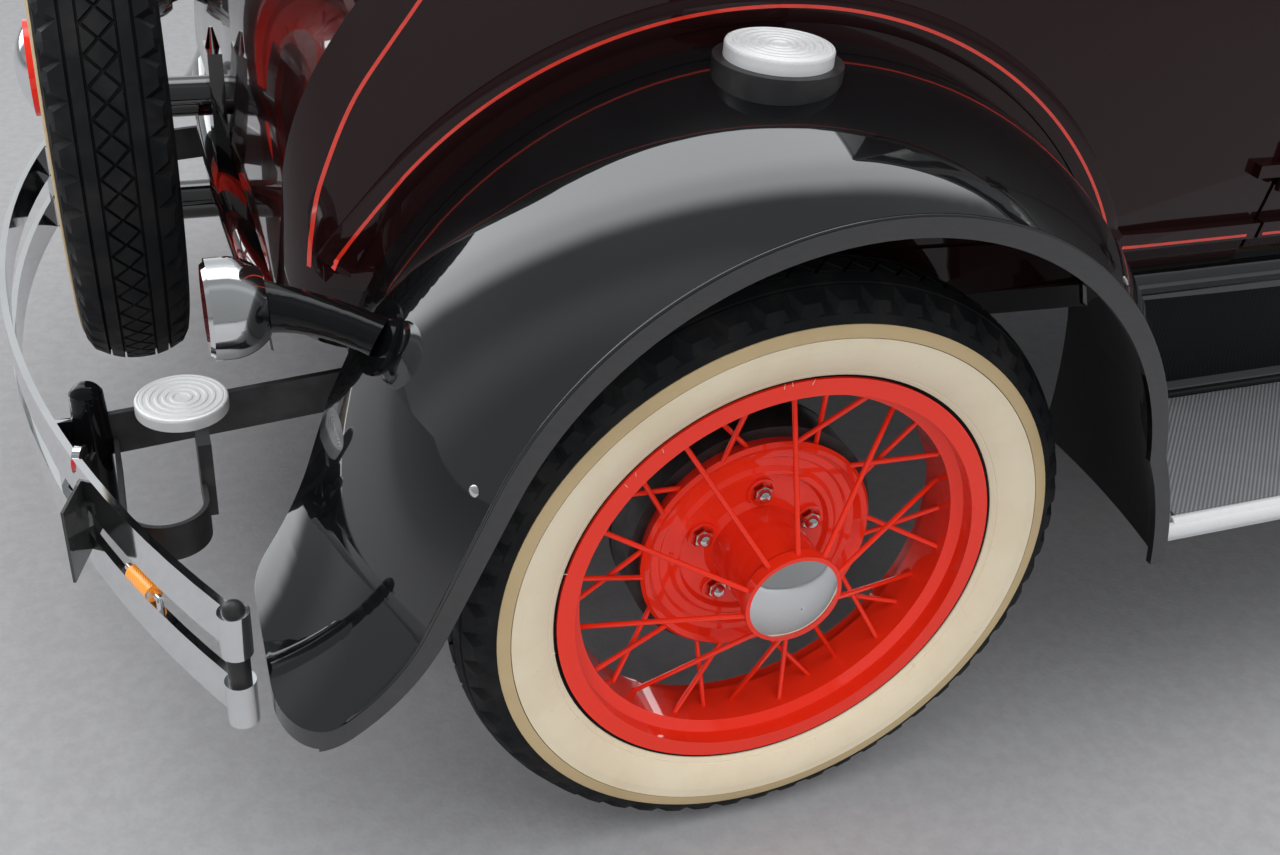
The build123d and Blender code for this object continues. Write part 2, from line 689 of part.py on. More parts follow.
def body_bands():
    """Raised belt, sill and drip mouldings: x0, x1, and the z range."""
    rows = (
        (CAB_BACK_X - 50, DOOR_FRONT_X, *BELT_BAND),
        (TAIL_X + 30, DOOR_FRONT_X, *SILL_BAND),
        (CAB_BACK_X + 60, DOOR_FRONT_X, *DRIP_BAND),
    )
    proud = body_form(-BAND_PROUD)
    bands = []
    for x0, x1, z0, z1 in rows:
        bands += (proud & both_sides(block(x0, x1, LID_HALF + 60, FAR, z0, z1))).solids()
    return bands


def window_cuts():
    """Openings: x0, x1, y0, y1 on the left side, then the front and back ones."""
    cuts = []
    for x0, x1 in (SIDE_WINDOW, QUARTER_WINDOW):
        cuts.append(block(x0, x1, 400, 800, WINDOW_BOTTOM, WINDOW_TOP))
        cuts.append(block(x0, x1, -800, -400, WINDOW_BOTTOM, WINDOW_TOP))
    cuts.append(block(-1000, -780, -REAR_WINDOW_HALF, REAR_WINDOW_HALF, 1340, 1570))
    cuts.append(block(236, 400, -WINDSHIELD_HALF, WINDSHIELD_HALF, WINDOW_BOTTOM, WINDOW_TOP))
    return cuts


def door_hinge_leaves(on_door):
    """Outside hinges of the left door: two barrels and pin on the door, one on the post."""
    part = Part()
    for z in DOOR_HINGES:
        ends = ((z - 26, z - 8 - BARREL_GAP), (z + 8 + BARREL_GAP, z + 26)) if on_door else ((z - 8, z + 8),)
        for low, high in ends:
            part += rod((HINGE_X, HINGE_Y, low), (HINGE_X, HINGE_Y, high), BARREL_R)
            x0 = HINGE_X if on_door else HINGE_X - 42
            x1 = HINGE_X + 42 if on_door else HINGE_X
            part += block(x0, x1, HINGE_Y - 4, HINGE_Y + 2, low, high)
            x0 = HINGE_X + 5 if on_door else HINGE_X - 42
            x1 = HINGE_X + 42 if on_door else HINGE_X - 5
            part += block(x0, x1, HINGE_Y - 22, HINGE_Y - 4, low, high)
        pin = rod((HINGE_X, HINGE_Y, z - 26), (HINGE_X, HINGE_Y, z + 26), PIN_R)
        if on_door:
            part += pin
        else:
            part -= rod((HINGE_X, HINGE_Y, z - 26), (HINGE_X, HINGE_Y, z + 26), PIN_R + SPINDLE_FIT)
    return part


def deck_z(x):
    """Height of the deck line at x."""
    if x > DECK_END_X:
        heading = asin(sin(DECK_START) + (CAB_BACK_X - x) / DECK_R)
        return BELT_Z - DECK_R * (cos(DECK_START) - cos(heading))
    heading = asin(sin(DECK_END) + (DECK_END_X - x) / TAIL_R)
    return DECK_END_Z - TAIL_R * (cos(DECK_END) - cos(heading))


LID_HINGE_X = LID_REAR_X - PANEL_GAP / 2
LID_HINGE_Z = deck_z(LID_HINGE_X) + 13


def lid_hinge(on_lid):
    """Left hinge at the foot of the rumble lid."""
    y = LID_HINGE_Y
    x = LID_HINGE_X
    z = LID_HINGE_Z
    ends = ((y - 12, y + 12),) if on_lid else ((y - 34, y - 12 - BARREL_GAP), (y + 12 + BARREL_GAP, y + 34))
    part = Part()
    for y0, y1 in ends:
        part += rod((x, y0, z), (x, y1, z), BARREL_R)
        if on_lid:
            part += side_plate([(x, z - 5), (x, z + 5), (x + 38, z + 34), (x + 38, z - 10), (x + 4, z - 10)], y0, y1)
        else:
            part += side_plate([(x, z - 5), (x, z + 5), (x - 24, z - 30), (x - 24, z - 60), (x - 5, z - 40)], y0, y1)
    if on_lid:
        return part - rod((x, y - 40, z), (x, y + 40, z), PIN_R + SPINDLE_FIT)
    return part + rod((x, y - 34, z), (x, y + 34, z), PIN_R)


def door_handle():
    """Lever handle of the left door on its round plate."""
    skin_y = BODY_HALF - 25
    post_y = BODY_HALF + 38
    part = rod((HANDLE_X, skin_y, HANDLE_Z), (HANDLE_X, BODY_HALF + 4, HANDLE_Z), 24)
    part += rod((HANDLE_X, skin_y, HANDLE_Z), (HANDLE_X, post_y, HANDLE_Z), 9)
    grip = rod((HANDLE_X + 12, post_y, HANDLE_Z), (HANDLE_X - 100, post_y, HANDLE_Z - 6), 8)
    return part + grip + Pos(HANDLE_X - 100, post_y, HANDLE_Z - 6) * Sphere(10)


def lid_handle():
    """T handle near the top edge of the rumble lid."""
    x = LID_FRONT_X - 60
    z = deck_z(x)
    post = rod((x, 0, z - 12), (x, 0, z + 22), 8)
    return post + rod((x, -48, z + 26), (x, 48, z + 26), 8) + rod((x, 0, z - 12), (x, 0, z + 3), 20)


def filler_cap():
    """Fuel filler on the cowl in front of the windshield."""
    x = (COWL_FRONT_X + 395) / 2
    neck = rod((x, 0, COWL_FRONT_TOP - 30), (x, 0, COWL_FRONT_TOP + 16), 30)
    return neck + rod((x, 0, COWL_FRONT_TOP + 16), (x, 0, COWL_FRONT_TOP + 32), 38)


def save_body():
    shell = body_shell()
    for cut in window_cuts():
        shell -= cut
    g = PANEL_GAP
    roof_z = EAVE_Z
    below = block(-FAR, FAR, -FAR, FAR, 0, roof_z)
    save("roof", shell - below)
    shell = shell & below
    front = shell & block(DOOR_FRONT_X, FAR, -FAR, FAR, 0, FAR)
    frame_zone = block(236, 400, -WINDSHIELD_HALF - 35, WINDSHIELD_HALF + 35, BELT_Z + 8, FAR)
    save("windshield_frame", front & frame_zone)
    column_hole = rod(along_column(300), along_column(900), COLUMN_R + 4)
    dash = block(245, 265, -560, 560, 1010, 1190)
    save("cowl", (front - frame_zone - column_hole) + dash + hood_hinge() + filler_cap())
    rear = shell & block(-FAR, DOOR_REAR_X, -FAR, FAR, 0, FAR)
    split_y = LID_HALF + g
    quarter = (rear & block(-FAR, FAR, split_y, FAR, 0, FAR)) + door_hinge_leaves(False)
    save("quarter_panel_left", quarter)
    save("quarter_panel_right", other_side(quarter))
    middle = rear & block(-FAR, FAR, -split_y, split_y, 0, FAR)
    bulkhead = block(CAB_BACK_X - 4, CAB_BACK_X + 11, -split_y, split_y, SILL_Z, BELT_Z - WALL - 5)
    save("back_panel", (middle & block(LID_FRONT_X + g, 0, -FAR, FAR, 0, FAR)) + bulkhead)
    tail = middle & block(-FAR, LID_REAR_X - g, -FAR, FAR, 0, FAR)
    save("tail_panel", tail + both_sides(lid_hinge(False)))
    lid_zone = block(LID_REAR_X, LID_FRONT_X, -LID_HALF, LID_HALF, 700, FAR)
    save("rumble_lid", (middle & lid_zone) + both_sides(lid_hinge(True)) + lid_handle())
    sill = shell & block(DOOR_REAR_X, DOOR_FRONT_X, -FAR, FAR, 0, DOOR_BOTTOM)
    save("floor_pan", floor_pan() + sill)
    save("seat_boxes", seat_risers())
    door_zone = block(DOOR_REAR_X + g, DOOR_FRONT_X - g, 300, 800, DOOR_BOTTOM + g, roof_z - g)
    door = (shell & door_zone) + door_hinge_leaves(True) + door_handle()
    save("door_left", door)
    save("door_right", other_side(door))


def save_glass():
    pane = body_form(GLASS_DEPTH) - body_form(GLASS_DEPTH + GLASS_T)
    side_cut, side_right, quarter, quarter_right, back, front = window_cuts()
    save("door_glass_left", pane & side_cut)
    save("door_glass_right", pane & side_right)
    save("fixed_glass", (pane & quarter) + (pane & quarter_right) + (pane & back) + (pane & front))


def floor_pan():
    return Pos(0, 0, RAIL_TOP) * extrude(body_plan(8), amount=FLOOR_T)


# Seats

def bench_cushion():
    return block(-640, -190, -530, 530, 790, 920)


def bench_back():
    return Pos(-724.3, 0, 1100) * Rot(0, -10, 0) * Box(100, 1040, 400)


def seat_risers():
    """Open boxes under the bench and the rumble cushion."""
    bench = block(-650, -210, -500, 500, SILL_Z, 790) - block(-630, -230, -480, 480, SILL_Z, 770)
    rumble = block(-1430, -1090, -390, 390, SILL_Z, 700) - block(-1410, -1110, -370, 370, SILL_Z, 680)
    return bench + rumble


def rumble_cushion():
    return block(-1440, -1080, -400, 400, 700, 850)


def rumble_back():
    pad = body_form(WALL + 0.3) - body_form(WALL + 90)
    return pad & block(-1500, -1010, -390, 390, 700, FAR)


# Fenders, boards and aprons

def crown_bend(peak_y, drop):
    """Radius of the section's crown, which falls by drop from its peak to the lip."""
    reach = FENDER_HALF - LIP_STEP - peak_y
    return (reach ** 2 + drop ** 2) / (2 * drop)


def inner_fall(peak_y, inner_y, drop):
    """Fall of the crown from its peak to the inner edge."""
    bend = crown_bend(peak_y, drop)
    return bend - sqrt(bend ** 2 - (peak_y - inner_y) ** 2)


def fender_section(plane, peak_y, inner_y, drop=CROWN_DROP):
    """Skin section of a fender: crown, and a flat lip at the outer edge."""
    lip_y = FENDER_HALF - LIP_STEP
    t = FENDER_T
    fall = inner_fall(peak_y, inner_y, drop)
    top = ThreePointArc((-fall, inner_y), (0, peak_y), (-drop, lip_y))
    low = ThreePointArc((-fall - t, inner_y), (-t, peak_y - 2), (-drop - t, lip_y - t))
    rim_line = Polyline((-drop, lip_y), (-drop, FENDER_HALF), (-drop - LIP_DEPTH, FENDER_HALF),
                        (-drop - LIP_DEPTH, lip_y - t), (-drop - t, lip_y - t))
    close = Line((-fall - t, inner_y), (-fall, inner_y))
    return plane * make_face(top + rim_line + low + close)


def edge_section(plane, peak_y, inner_y):
    """Deep section under the skin, from which the tail's turned-down edge is cut."""
    lip_y = FENDER_HALF - LIP_STEP
    fall = inner_fall(peak_y, inner_y, CROWN_DROP)
    deep = LIP_DEPTH
    top = ThreePointArc((-fall, inner_y), (0, peak_y), (-CROWN_DROP, lip_y))
    low = ThreePointArc((-fall - deep, inner_y), (-deep, peak_y), (-CROWN_DROP - deep, lip_y))
    sides = Line((-fall - deep, inner_y), (-fall, inner_y)) + Line((-CROWN_DROP - deep, lip_y), (-CROWN_DROP, lip_y))
    return plane * make_face(top + low + sides)


def upright_plane(x, z, tilt=0):
    """Section plane whose first axis points away from the wheel."""
    a = radians(tilt)
    return Plane(origin=(x, 0, z), x_dir=(cos(a), 0, sin(a)), z_dir=(-sin(a), 0, cos(a)))


def tail_plan():
    """Plan of the fender's tail: a round outer corner and a slanting inner one."""
    x = TAIL_EDGE_X
    points = [(0, REAR_INNER_Y - 35), (0, FENDER_HALF), (x, FENDER_HALF), (x, REAR_PEAK_Y + 65)]
    points += [(x + 158, REAR_INNER_Y - 15), (x + 158, REAR_INNER_Y - 35)]
    face = make_face(Polyline(*points, close=True))
    outer = face.vertices().filter_by_position(Axis.X, x - 1, x + 1)
    return fillet(outer, radius=TAIL_CORNER_R)


def rear_fender():
    start_x = REAR_CROWN_X + REAR_CROWN_R * cos(radians(FOOT_TURN))
    start_z = REAR_CROWN_Z + REAR_CROWN_R * sin(radians(FOOT_TURN))
    foot_x = REAR_CROWN_X + REAR_CROWN_R
    foot_z = BOARD_TOP - BOARD_T - FENDER_T
    top_plane = upright_plane(start_x, start_z, FOOT_TURN)
    up = (cos(radians(90 + FOOT_TURN)), sin(radians(90 + FOOT_TURN)))
    crown = JernArc((start_x, start_z), up, REAR_CROWN_R, 156 - FOOT_TURN)
    fall = Line(crown @ 1, crown @ 1 + (crown % 1) * 150)
    flare = JernArc(fall @ 1, fall % 1, 150, -45)
    end = Line(flare @ 1, flare @ 1 + (flare % 1) * 60)
    path = Plane.XZ * (crown + fall + flare + end)
    plan = tail_plan()
    top_section = fender_section(top_plane, REAR_PEAK_Y, REAR_INNER_Y)
    skin = sweep(top_section, path=path) & extrude(plan, amount=FAR)
    deep = sweep(edge_section(top_plane, REAR_PEAK_Y, REAR_INNER_Y), path=path)
    ring = extrude(plan - offset(plan, amount=-FENDER_T), amount=FAR) & block(-FAR, TAIL_EDGE_X + 150, 0, FAR, 0, FAR)
    mid_plane = upright_plane(foot_x, (start_z + foot_z) / 2)
    foot_plane = upright_plane(foot_x, foot_z)
    middle_drop = (CROWN_DROP + FOOT_DROP) / 2
    foot = loft([
        fender_section(foot_plane, REAR_PEAK_Y, REAR_INNER_Y, FOOT_DROP),
        fender_section(mid_plane, REAR_PEAK_Y, REAR_INNER_Y, middle_drop),
        top_section,
    ])
    skin = skin + (deep & ring) + foot
    skin -= body_form()
    for band in body_bands():
        skin -= band
    skin -= Pos(0, 0, RAIL_TOP) * extrude(body_plan(), amount=FLOOR_T)
    return skin - block(-FAR, FAR, 0, BOARD_INNER, 0, SILL_Z)


def front_fender():
    start_x = FRONT_CROWN_X + FRONT_CROWN_R
    crown = JernArc((start_x, FRONT_CROWN_Z), (0, 1), FRONT_CROWN_R, 155)
    fall = Line(crown @ 1, crown @ 1 + (crown % 1) * 54)
    sweep_out = JernArc(fall @ 1, fall % 1, 233, -65)
    path = Plane.XZ * (crown + fall + sweep_out)
    skin = sweep(fender_section(upright_plane(start_x, FRONT_CROWN_Z), FRONT_PEAK_Y, VALANCE_Y), path=path)
    disc_r = FRONT_CROWN_R - inner_fall(FRONT_PEAK_Y, VALANCE_Y, CROWN_DROP) - FENDER_T / 2
    disc = rod((FRONT_CROWN_X, VALANCE_Y, FRONT_CROWN_Z), (FRONT_CROWN_X, VALANCE_Y + 4, FRONT_CROWN_Z), disc_r)
    return skin + (disc & block(-FAR, FAR, 0, FAR, RAIL_TOP - 10, FAR))


def running_board(fender):
    """Board with a round nosing, which ends BOARD_GAP ahead of the fender's foot."""
    x0 = REAR_CROWN_X + REAR_CROWN_R - CROWN_DROP
    y = BOARD_OUTER - NOSING_R
    part = block(x0, BOARD_FRONT_X, BOARD_INNER, y, BOARD_TOP - BOARD_T, BOARD_TOP)
    part += rod((x0, y, BOARD_TOP - NOSING_R), (BOARD_FRONT_X, y, BOARD_TOP - NOSING_R), NOSING_R)
    part -= Pos(BOARD_GAP, 0, 0) * fender
    return part.solids().sort_by(Axis.X)[-1]


def splash_apron():
    """Apron from the board up to the sill, hollowed outward."""
    x0 = REAR_CROWN_X + REAR_CROWN_R
    low = BOARD_TOP - BOARD_T
    y = BOARD_INNER
    flange = 14
    out = [(y, low), (y, BOARD_TOP + 30), (y + 3, BOARD_TOP + 70), (y + 9, RAIL_TOP - 50), (y + flange, RAIL_TOP)]
    back = [(a - APRON_T, b) for a, b in reversed(out)]
    return cross_plate(out + back, x0, BOARD_FRONT_X)


# Radiator and hood

def radiator_outline(inset=0):
    half = RADIATOR_HALF - inset
    top = RADIATOR_TOP - inset
    corner = RADIATOR_CORNER_R - inset
    return hood_outline(RADIATOR_REAR_X, half, top, RAIL_TOP + inset, corner)


def radiator_shell():
    depth = RADIATOR_FRONT_X - RADIATOR_REAR_X
    shell = extrude(radiator_outline(), amount=depth) - extrude(radiator_outline(45), amount=depth)
    shell -= Pos(-SHELL_T, 0, 0) * extrude(radiator_outline(SHELL_T), amount=depth)
    neck = rod((1378, 0, RADIATOR_TOP - SHELL_T + 2), (1378, 0, RADIATOR_TOP + 22), 26)
    cap = rod((1378, 0, RADIATOR_TOP + 22), (1378, 0, RADIATOR_TOP + 40), 34)
    return shell + neck + cap


def radiator_core():
    core = extrude(radiator_outline(SHELL_T + 1), amount=RADIATOR_FRONT_X - RADIATOR_REAR_X - SHELL_T - 20)
    count = 36
    low = RAIL_TOP + 60
    pitch = (RADIATOR_TOP - 70 - low) / count
    front = RADIATOR_FRONT_X - SHELL_T - 20
    for i in range(count):
        z = low + i * pitch
        core -= block(front - 8, front + 1, -RADIATOR_HALF + 50, RADIATOR_HALF - 50, z, z + pitch / 2)
    return core


def hood_half(first_ear):
    """Left half of the hood, hung on the centre hinge."""
    rear_x = COWL_FRONT_X + PANEL_GAP
    front_x = RADIATOR_REAR_X - PANEL_GAP
    outer = loft([
        hood_outline(front_x, HOOD_FRONT_HALF, RADIATOR_TOP - 4, HOOD_BOTTOM, COWL_CORNER_R),
        hood_outline(rear_x, COWL_FRONT_HALF, COWL_FRONT_TOP, HOOD_BOTTOM, COWL_CORNER_R),
    ])
    inner = loft([
        hood_outline(front_x + 1, HOOD_FRONT_HALF, RADIATOR_TOP - 4, HOOD_BOTTOM - 20, COWL_CORNER_R, HOOD_T),
        hood_outline(rear_x - 1, COWL_FRONT_HALF, COWL_FRONT_TOP, HOOD_BOTTOM - 20, COWL_CORNER_R, HOOD_T),
    ])
    skin = (outer - inner) & block(-FAR, FAR, HINGE_R + 9, FAR, 0, FAR)
    louvers = 24
    pitch = 22
    for i in range(louvers):
        x = 720 + i * pitch
        share = (x - rear_x) / (front_x - rear_x)
        y = COWL_FRONT_HALF + (HOOD_FRONT_HALF - COWL_FRONT_HALF) * share
        skin -= block(x, x + 8, y - 30, y + 30, 760, 980)
    for x in HOOD_LATCHES:
        share = (x - rear_x) / (front_x - rear_x)
        y = COWL_FRONT_HALF + (HOOD_FRONT_HALF - COWL_FRONT_HALF) * share
        skin += rod((x, y + 3, HOOD_BOTTOM + 12), (x, y + 3, HOOD_BOTTOM + 70), 7)
    knuckles = 3
    way = (HINGE_FRONT - HINGE_REAR).normalized()
    for i in range(knuckles):
        spot = HINGE_REAR + way * (first_ear + 250 * i)
        ear = spot + way * 40
        skin += rod(spot, ear, HINGE_R + 3)
        skin += block(spot.X, ear.X, 0, 30, spot.Z - HINGE_R - 5, spot.Z - 2)
        skin -= rod((spot - way * 5), (ear + way * 5), HINGE_R + SPINDLE_FIT)
    return skin


def hood_hinge():
    return rod(HINGE_REAR, HINGE_FRONT, HINGE_R) & block(COWL_FRONT_X, RADIATOR_REAR_X, -50, 50, 0, FAR)


# Lamps, bumpers, steps and spare carrier

def headlamps():
    bowl_arc = ThreePointArc((0, HEADLAMP_R), (-120, HEADLAMP_R * 0.7), (-170, 0))
    face = ThreePointArc((26, 0), (20, 60), (0, HEADLAMP_R))
    profile = make_face(bowl_arc + face + Line((-170, 0), (26, 0)))
    lamp = revolve(Plane.XZ * profile, Axis.X)
    ring = extrude(Plane.YZ * (Circle(HEADLAMP_R + 6) - Circle(HEADLAMP_R - 12)), amount=16, both=True)
    lamp = Pos(HEADLAMP_X + 60, HEADLAMP_Y, HEADLAMP_Z) * (lamp + ring)
    post = rod((HEADLAMP_X, HEADLAMP_Y, LAMP_BAR_Z), (HEADLAMP_X, HEADLAMP_Y, HEADLAMP_Z - 60), 14)
    bar = rod((HEADLAMP_X, -VALANCE_Y, LAMP_BAR_Z), (HEADLAMP_X, VALANCE_Y, LAMP_BAR_Z), 13)
    return both_sides(lamp + post) + bar


def bumper_bar(z, plan_r):
    """One curved bar at the back, bowed in plan."""
    centre_x = plan_r - BUMPER_FACE_X
    ring = Circle(plan_r) - Circle(plan_r - BAR_T)
    bar = Pos(centre_x, 0, z) * extrude(ring, amount=BAR_H)
    return bar & block(-BUMPER_FACE_X - 10, -1500, -BUMPER_HALF, BUMPER_HALF, z, z + BAR_H)


def bumper_x(y, plan_r):
    """Middle of the bar's thickness at y."""
    return plan_r - BUMPER_FACE_X - sqrt(plan_r ** 2 - y ** 2) + BAR_T / 2


def bumper_bars(plan_r):
    """Two bars with rolled eyes, a spacer between them and a domed bolt on top."""
    part = bumper_bar(UPPER_BAR_Z, plan_r) + bumper_bar(LOWER_BAR_Z, plan_r)
    x = bumper_x(BUMPER_HALF, plan_r)
    y = BUMPER_HALF
    top = UPPER_BAR_Z + BAR_H
    end = rod((x, y, LOWER_BAR_Z), (x, y, LOWER_BAR_Z + BAR_H), EYE_R)
    end += rod((x, y, LOWER_BAR_Z), (x, y, top), SPACER_R)
    end += rod((x, y, UPPER_BAR_Z), (x, y, top), EYE_R)
    end += Pos(x, y, top) * Sphere(SPACER_R)
    return part + both_sides(end)


def bumper_clamp(x, y):
    """Two round clamp bodies behind the bars, the upper one tapered with a domed end."""
    split = UPPER_BAR_Z + 8
    top = UPPER_BAR_Z + BAR_H + 32
    upper = extrude(Plane(origin=(x, y, split)) * Circle(CLAMP_R), amount=top - split, taper=3.5)
    lower = rod((x, y, LOWER_BAR_Z + 20), (x, y, split + 2), CLAMP_R - 4)
    return upper + lower + Pos(x, y, top - 6) * Sphere(CLAMP_R - 4)


def marker_lamp():
    """Amber marker lying on the lower bar, on a small stem at each end."""
    x = bumper_x(MARKER_Y, BUMPER_PLAN_R)
    lean = MARKER_Y / BUMPER_PLAN_R
    way = Vector(lean, sqrt(1 - lean ** 2), 0)
    z = LOWER_BAR_Z + BAR_H + MARKER_R + 4
    middle = Vector(x, MARKER_Y, z)
    lens = rod(middle - way * MARKER_LENS_HALF, middle + way * MARKER_LENS_HALF, MARKER_R)
    part = lens + rod(middle - way * MARKER_STEM_HALF, middle + way * MARKER_STEM_HALF, 4)
    for side in (-1, 1):
        foot = middle + way * (side * (MARKER_STEM_HALF - 3))
        part += rod((foot.X, foot.Y, LOWER_BAR_Z + BAR_H - 2), (foot.X, foot.Y, z), 3.5)
    return part


def blank_plate():
    """Small blank plate hung outside the bars on the right, with a round reflector over it."""
    t, wide, high = BLANK_PLATE
    y = BLANK_PLATE_Y
    x = bumper_x(y, BUMPER_PLAN_R) - BAR_T / 2 - t + 0.5
    turn = Rot(0, 0, degrees(asin(y / BUMPER_PLAN_R)))
    reflector = Pos(-t, 30, high / 2 + 7) * extrude(Plane.YZ * Circle(REFLECTOR_R), amount=-8)
    post = Pos(0, 30, high / 2 - 5) * Box(t, 12, 30)
    stay = Pos(3, 0, 12) * Box(8, 20, 14)
    return Pos(x, y, UPPER_BAR_Z - 12) * turn * (Box(t, wide, high) + post + reflector + stay)


def rear_bumper():
    y = BUMPER_ARM_Y
    x = bumper_x(y, BUMPER_PLAN_R)
    top = UPPER_BAR_Z + BAR_H
    points = [(x, LOWER_BAR_Z), (x, top), (x + 30, top), (-1600, 480), (-1400, 520), (-1180, 520)]
    points += [(-1180, 475), (-1400, 472), (-1600, 430), (x + 40, UPPER_BAR_Z), (x + 30, LOWER_BAR_Z)]
    arm = side_plate(points, y, BUMPER_ARM_OUT)
    part = bumper_bars(BUMPER_PLAN_R) + both_sides(arm + bumper_clamp(x + 40, y + ARM_T / 2) + marker_lamp())
    return part + blank_plate()


def front_bumper():
    y = RAIL_Y
    x = -bumper_x(y, FRONT_BUMPER_R)
    top = UPPER_BAR_Z + BAR_H
    points = [(1400, 475), (1400, 540), (1490, 540), (x - 30, top), (x, top)]
    points += [(x, LOWER_BAR_Z), (x - 30, LOWER_BAR_Z), (x - 45, UPPER_BAR_Z), (1490, 475)]
    return Rot(0, 0, 180) * bumper_bars(FRONT_BUMPER_R) + both_sides(side_plate(points, y, y + ARM_T))


def step_strap():
    """Flat U strap that braces the bumper step, with the step's stem on its inner end."""
    x, y, z = BUMPER_STEP
    bend = STRAP_BEND_R
    wide = 2 * bend
    x0 = x + 13 - wide
    bend_y = y - 104
    t = STRAP_T
    low = LOWER_BAR_Z + 65
    high = UPPER_BAR_Z + 23
    outside = block(x0, x0 + wide, bend_y, -BUMPER_ARM_OUT, low, high)
    outside += rod((x0 + bend, bend_y, low), (x0 + bend, bend_y, high), bend)
    inside = block(x0 + t, x0 + wide - t, bend_y, -BUMPER_ARM_OUT + 1, low - 1, high + 1)
    inside += rod((x0 + bend, bend_y, low - 1), (x0 + bend, bend_y, high + 1), bend - t)
    strap = outside - inside - block(x0 + bend, x0 + wide + 1, y - 29, 0, low - 1, high + 1)
    stem = block(x0 + wide - t, x0 + wide + 9, y - 79, y - 29, low, z)
    return strap + stem


def step_pads(fender, bumper):
    """Round step plates on the right rear fender and over the rear bumper."""
    x, y, z = FENDER_STEP
    base = rod((x, y, z - 30), (x, y, z), STEP_BASE_R) - fender
    base = base.solids().sort_by(Axis.Z)[-1]
    plate = rod((x, y, z), (x, y, z + STEP_T), STEP_R)
    bx, by, bz = BUMPER_STEP
    high = rod((bx, by, bz), (bx, by, bz + STEP_T), STEP_R - 3)
    bracket = block(bx - 18, bx + 18, by - 25, -BUMPER_ARM_OUT, bz - 6, bz)
    bracket += block(bx - 18, bx + 18, -BUMPER_ARM_OUT - 6, -BUMPER_ARM_OUT, 440, bz)
    strap = (step_strap() - bumper).solids().sort_by(SortBy.VOLUME)[-1]
    return Part() + base + plate + high + bracket + strap


def tail_lamps(fender):
    """Bell-shaped lamp on a curved horn, which stands on a flange plate of the fender."""
    x, y, z = TAIL_LAMP
    r = TAIL_LAMP_R
    line = Polyline((0, 0), (0, r - 6), (4, r - 3), (4, r), (16, r))
    curve = ThreePointArc((16, r), (40, r - 4), (56, r - 15)) + Line((56, r - 15), (56, 0)) + Line((56, 0), (0, 0))
    bell = Pos(x, y, z) * revolve(Plane.XY * make_face(line + curve), Axis.X)
    root = TAIL_LAMP_ROOT
    outward = Vector(REAR_CROWN_X, 0, REAR_CROWN_Z) - Vector(root.X, 0, root.Z)
    outward = outward.normalized() * -1
    start = Plane(origin=(x + 54, y + 4, z), z_dir=(1, 0.25, 0)) * Circle(26)
    bend = Plane(origin=(x + 95, y + 32, z + 2), z_dir=(1, 0.9, -0.05)) * Circle(21)
    foot = Plane(origin=root + outward * 8, z_dir=outward * -1 + Vector(0, 0.5, 0)) * Circle(20)
    horn = loft([start, bend, foot])
    flange = rod(root - outward * 25, root + outward * 9, TAIL_LAMP_FOOT_R)
    lamp = bell + horn + flange - fender
    return both_sides(lamp.solids().sort_by(Axis.X)[0])


def spare_carrier():
    """Mounting disc on a post, a cross tube to the tail and a clamp with a pointed cap."""
    mount_x = SPARE_X + abs(HUB_FACE_S)
    tube_z = SPARE_Z - 44
    clamp_x = TAIL_X - 18
    disc = rod((mount_x, 0, SPARE_Z), (mount_x + 10, 0, SPARE_Z), MOUNT_R)
    post = block(mount_x + 10, mount_x + 40, -POST_HALF, POST_HALF, 500, SPARE_Z + 60)
    tube = rod((RAIL_REAR_X, 0, 525), (mount_x + 20, 0, 525), CARRIER_TUBE_R)
    upper = rod((mount_x, 0, tube_z), (TAIL_X + 40, 0, tube_z), CARRIER_TUBE_R) - body_form()
    clamp = block(clamp_x - 10, clamp_x + 8, -28, 28, tube_z - 105, tube_z + 62)
    cap = extrude(Plane(origin=(clamp_x - 1, 0, tube_z + 62)) * Circle(9), amount=26, taper=14)
    legs = both_sides(block(clamp_x - 8, clamp_x + 6, 12, 24, 520, tube_z - 100))
    return disc + post + tube + upper.solids().sort_by(Axis.X)[0] + clamp + cap + legs


def hood_sill():
    """Upright ledge under the hood's lower edge, with a shelf on the frame rail."""
    t = 4
    y0 = COWL_FRONT_HALF - 14
    y1 = HOOD_FRONT_HALF - 14
    x0 = COWL_FRONT_X
    x1 = RADIATOR_REAR_X
    wall = make_face(Polyline((x0, y0), (x1, y1), (x1, y1 - t), (x0, y0 - t), close=True))
    shelf_y = RAIL_Y - 15
    cross_x = x0 + (x1 - x0) * (y0 - shelf_y) / (y0 - y1)
    ahead = make_face(Polyline((cross_x, shelf_y), (x1, y1 - t), (x1, shelf_y), close=True))
    behind = make_face(Polyline((cross_x, shelf_y), (x0, y0), (x0, shelf_y), close=True))
    part = Pos(0, 0, RAIL_TOP) * extrude(wall, amount=HOOD_BOTTOM - 8 - RAIL_TOP)
    return part + [Pos(0, 0, RAIL_TOP) * extrude(ahead, amount=t), Pos(0, 0, RAIL_TOP) * extrude(behind, amount=t)]


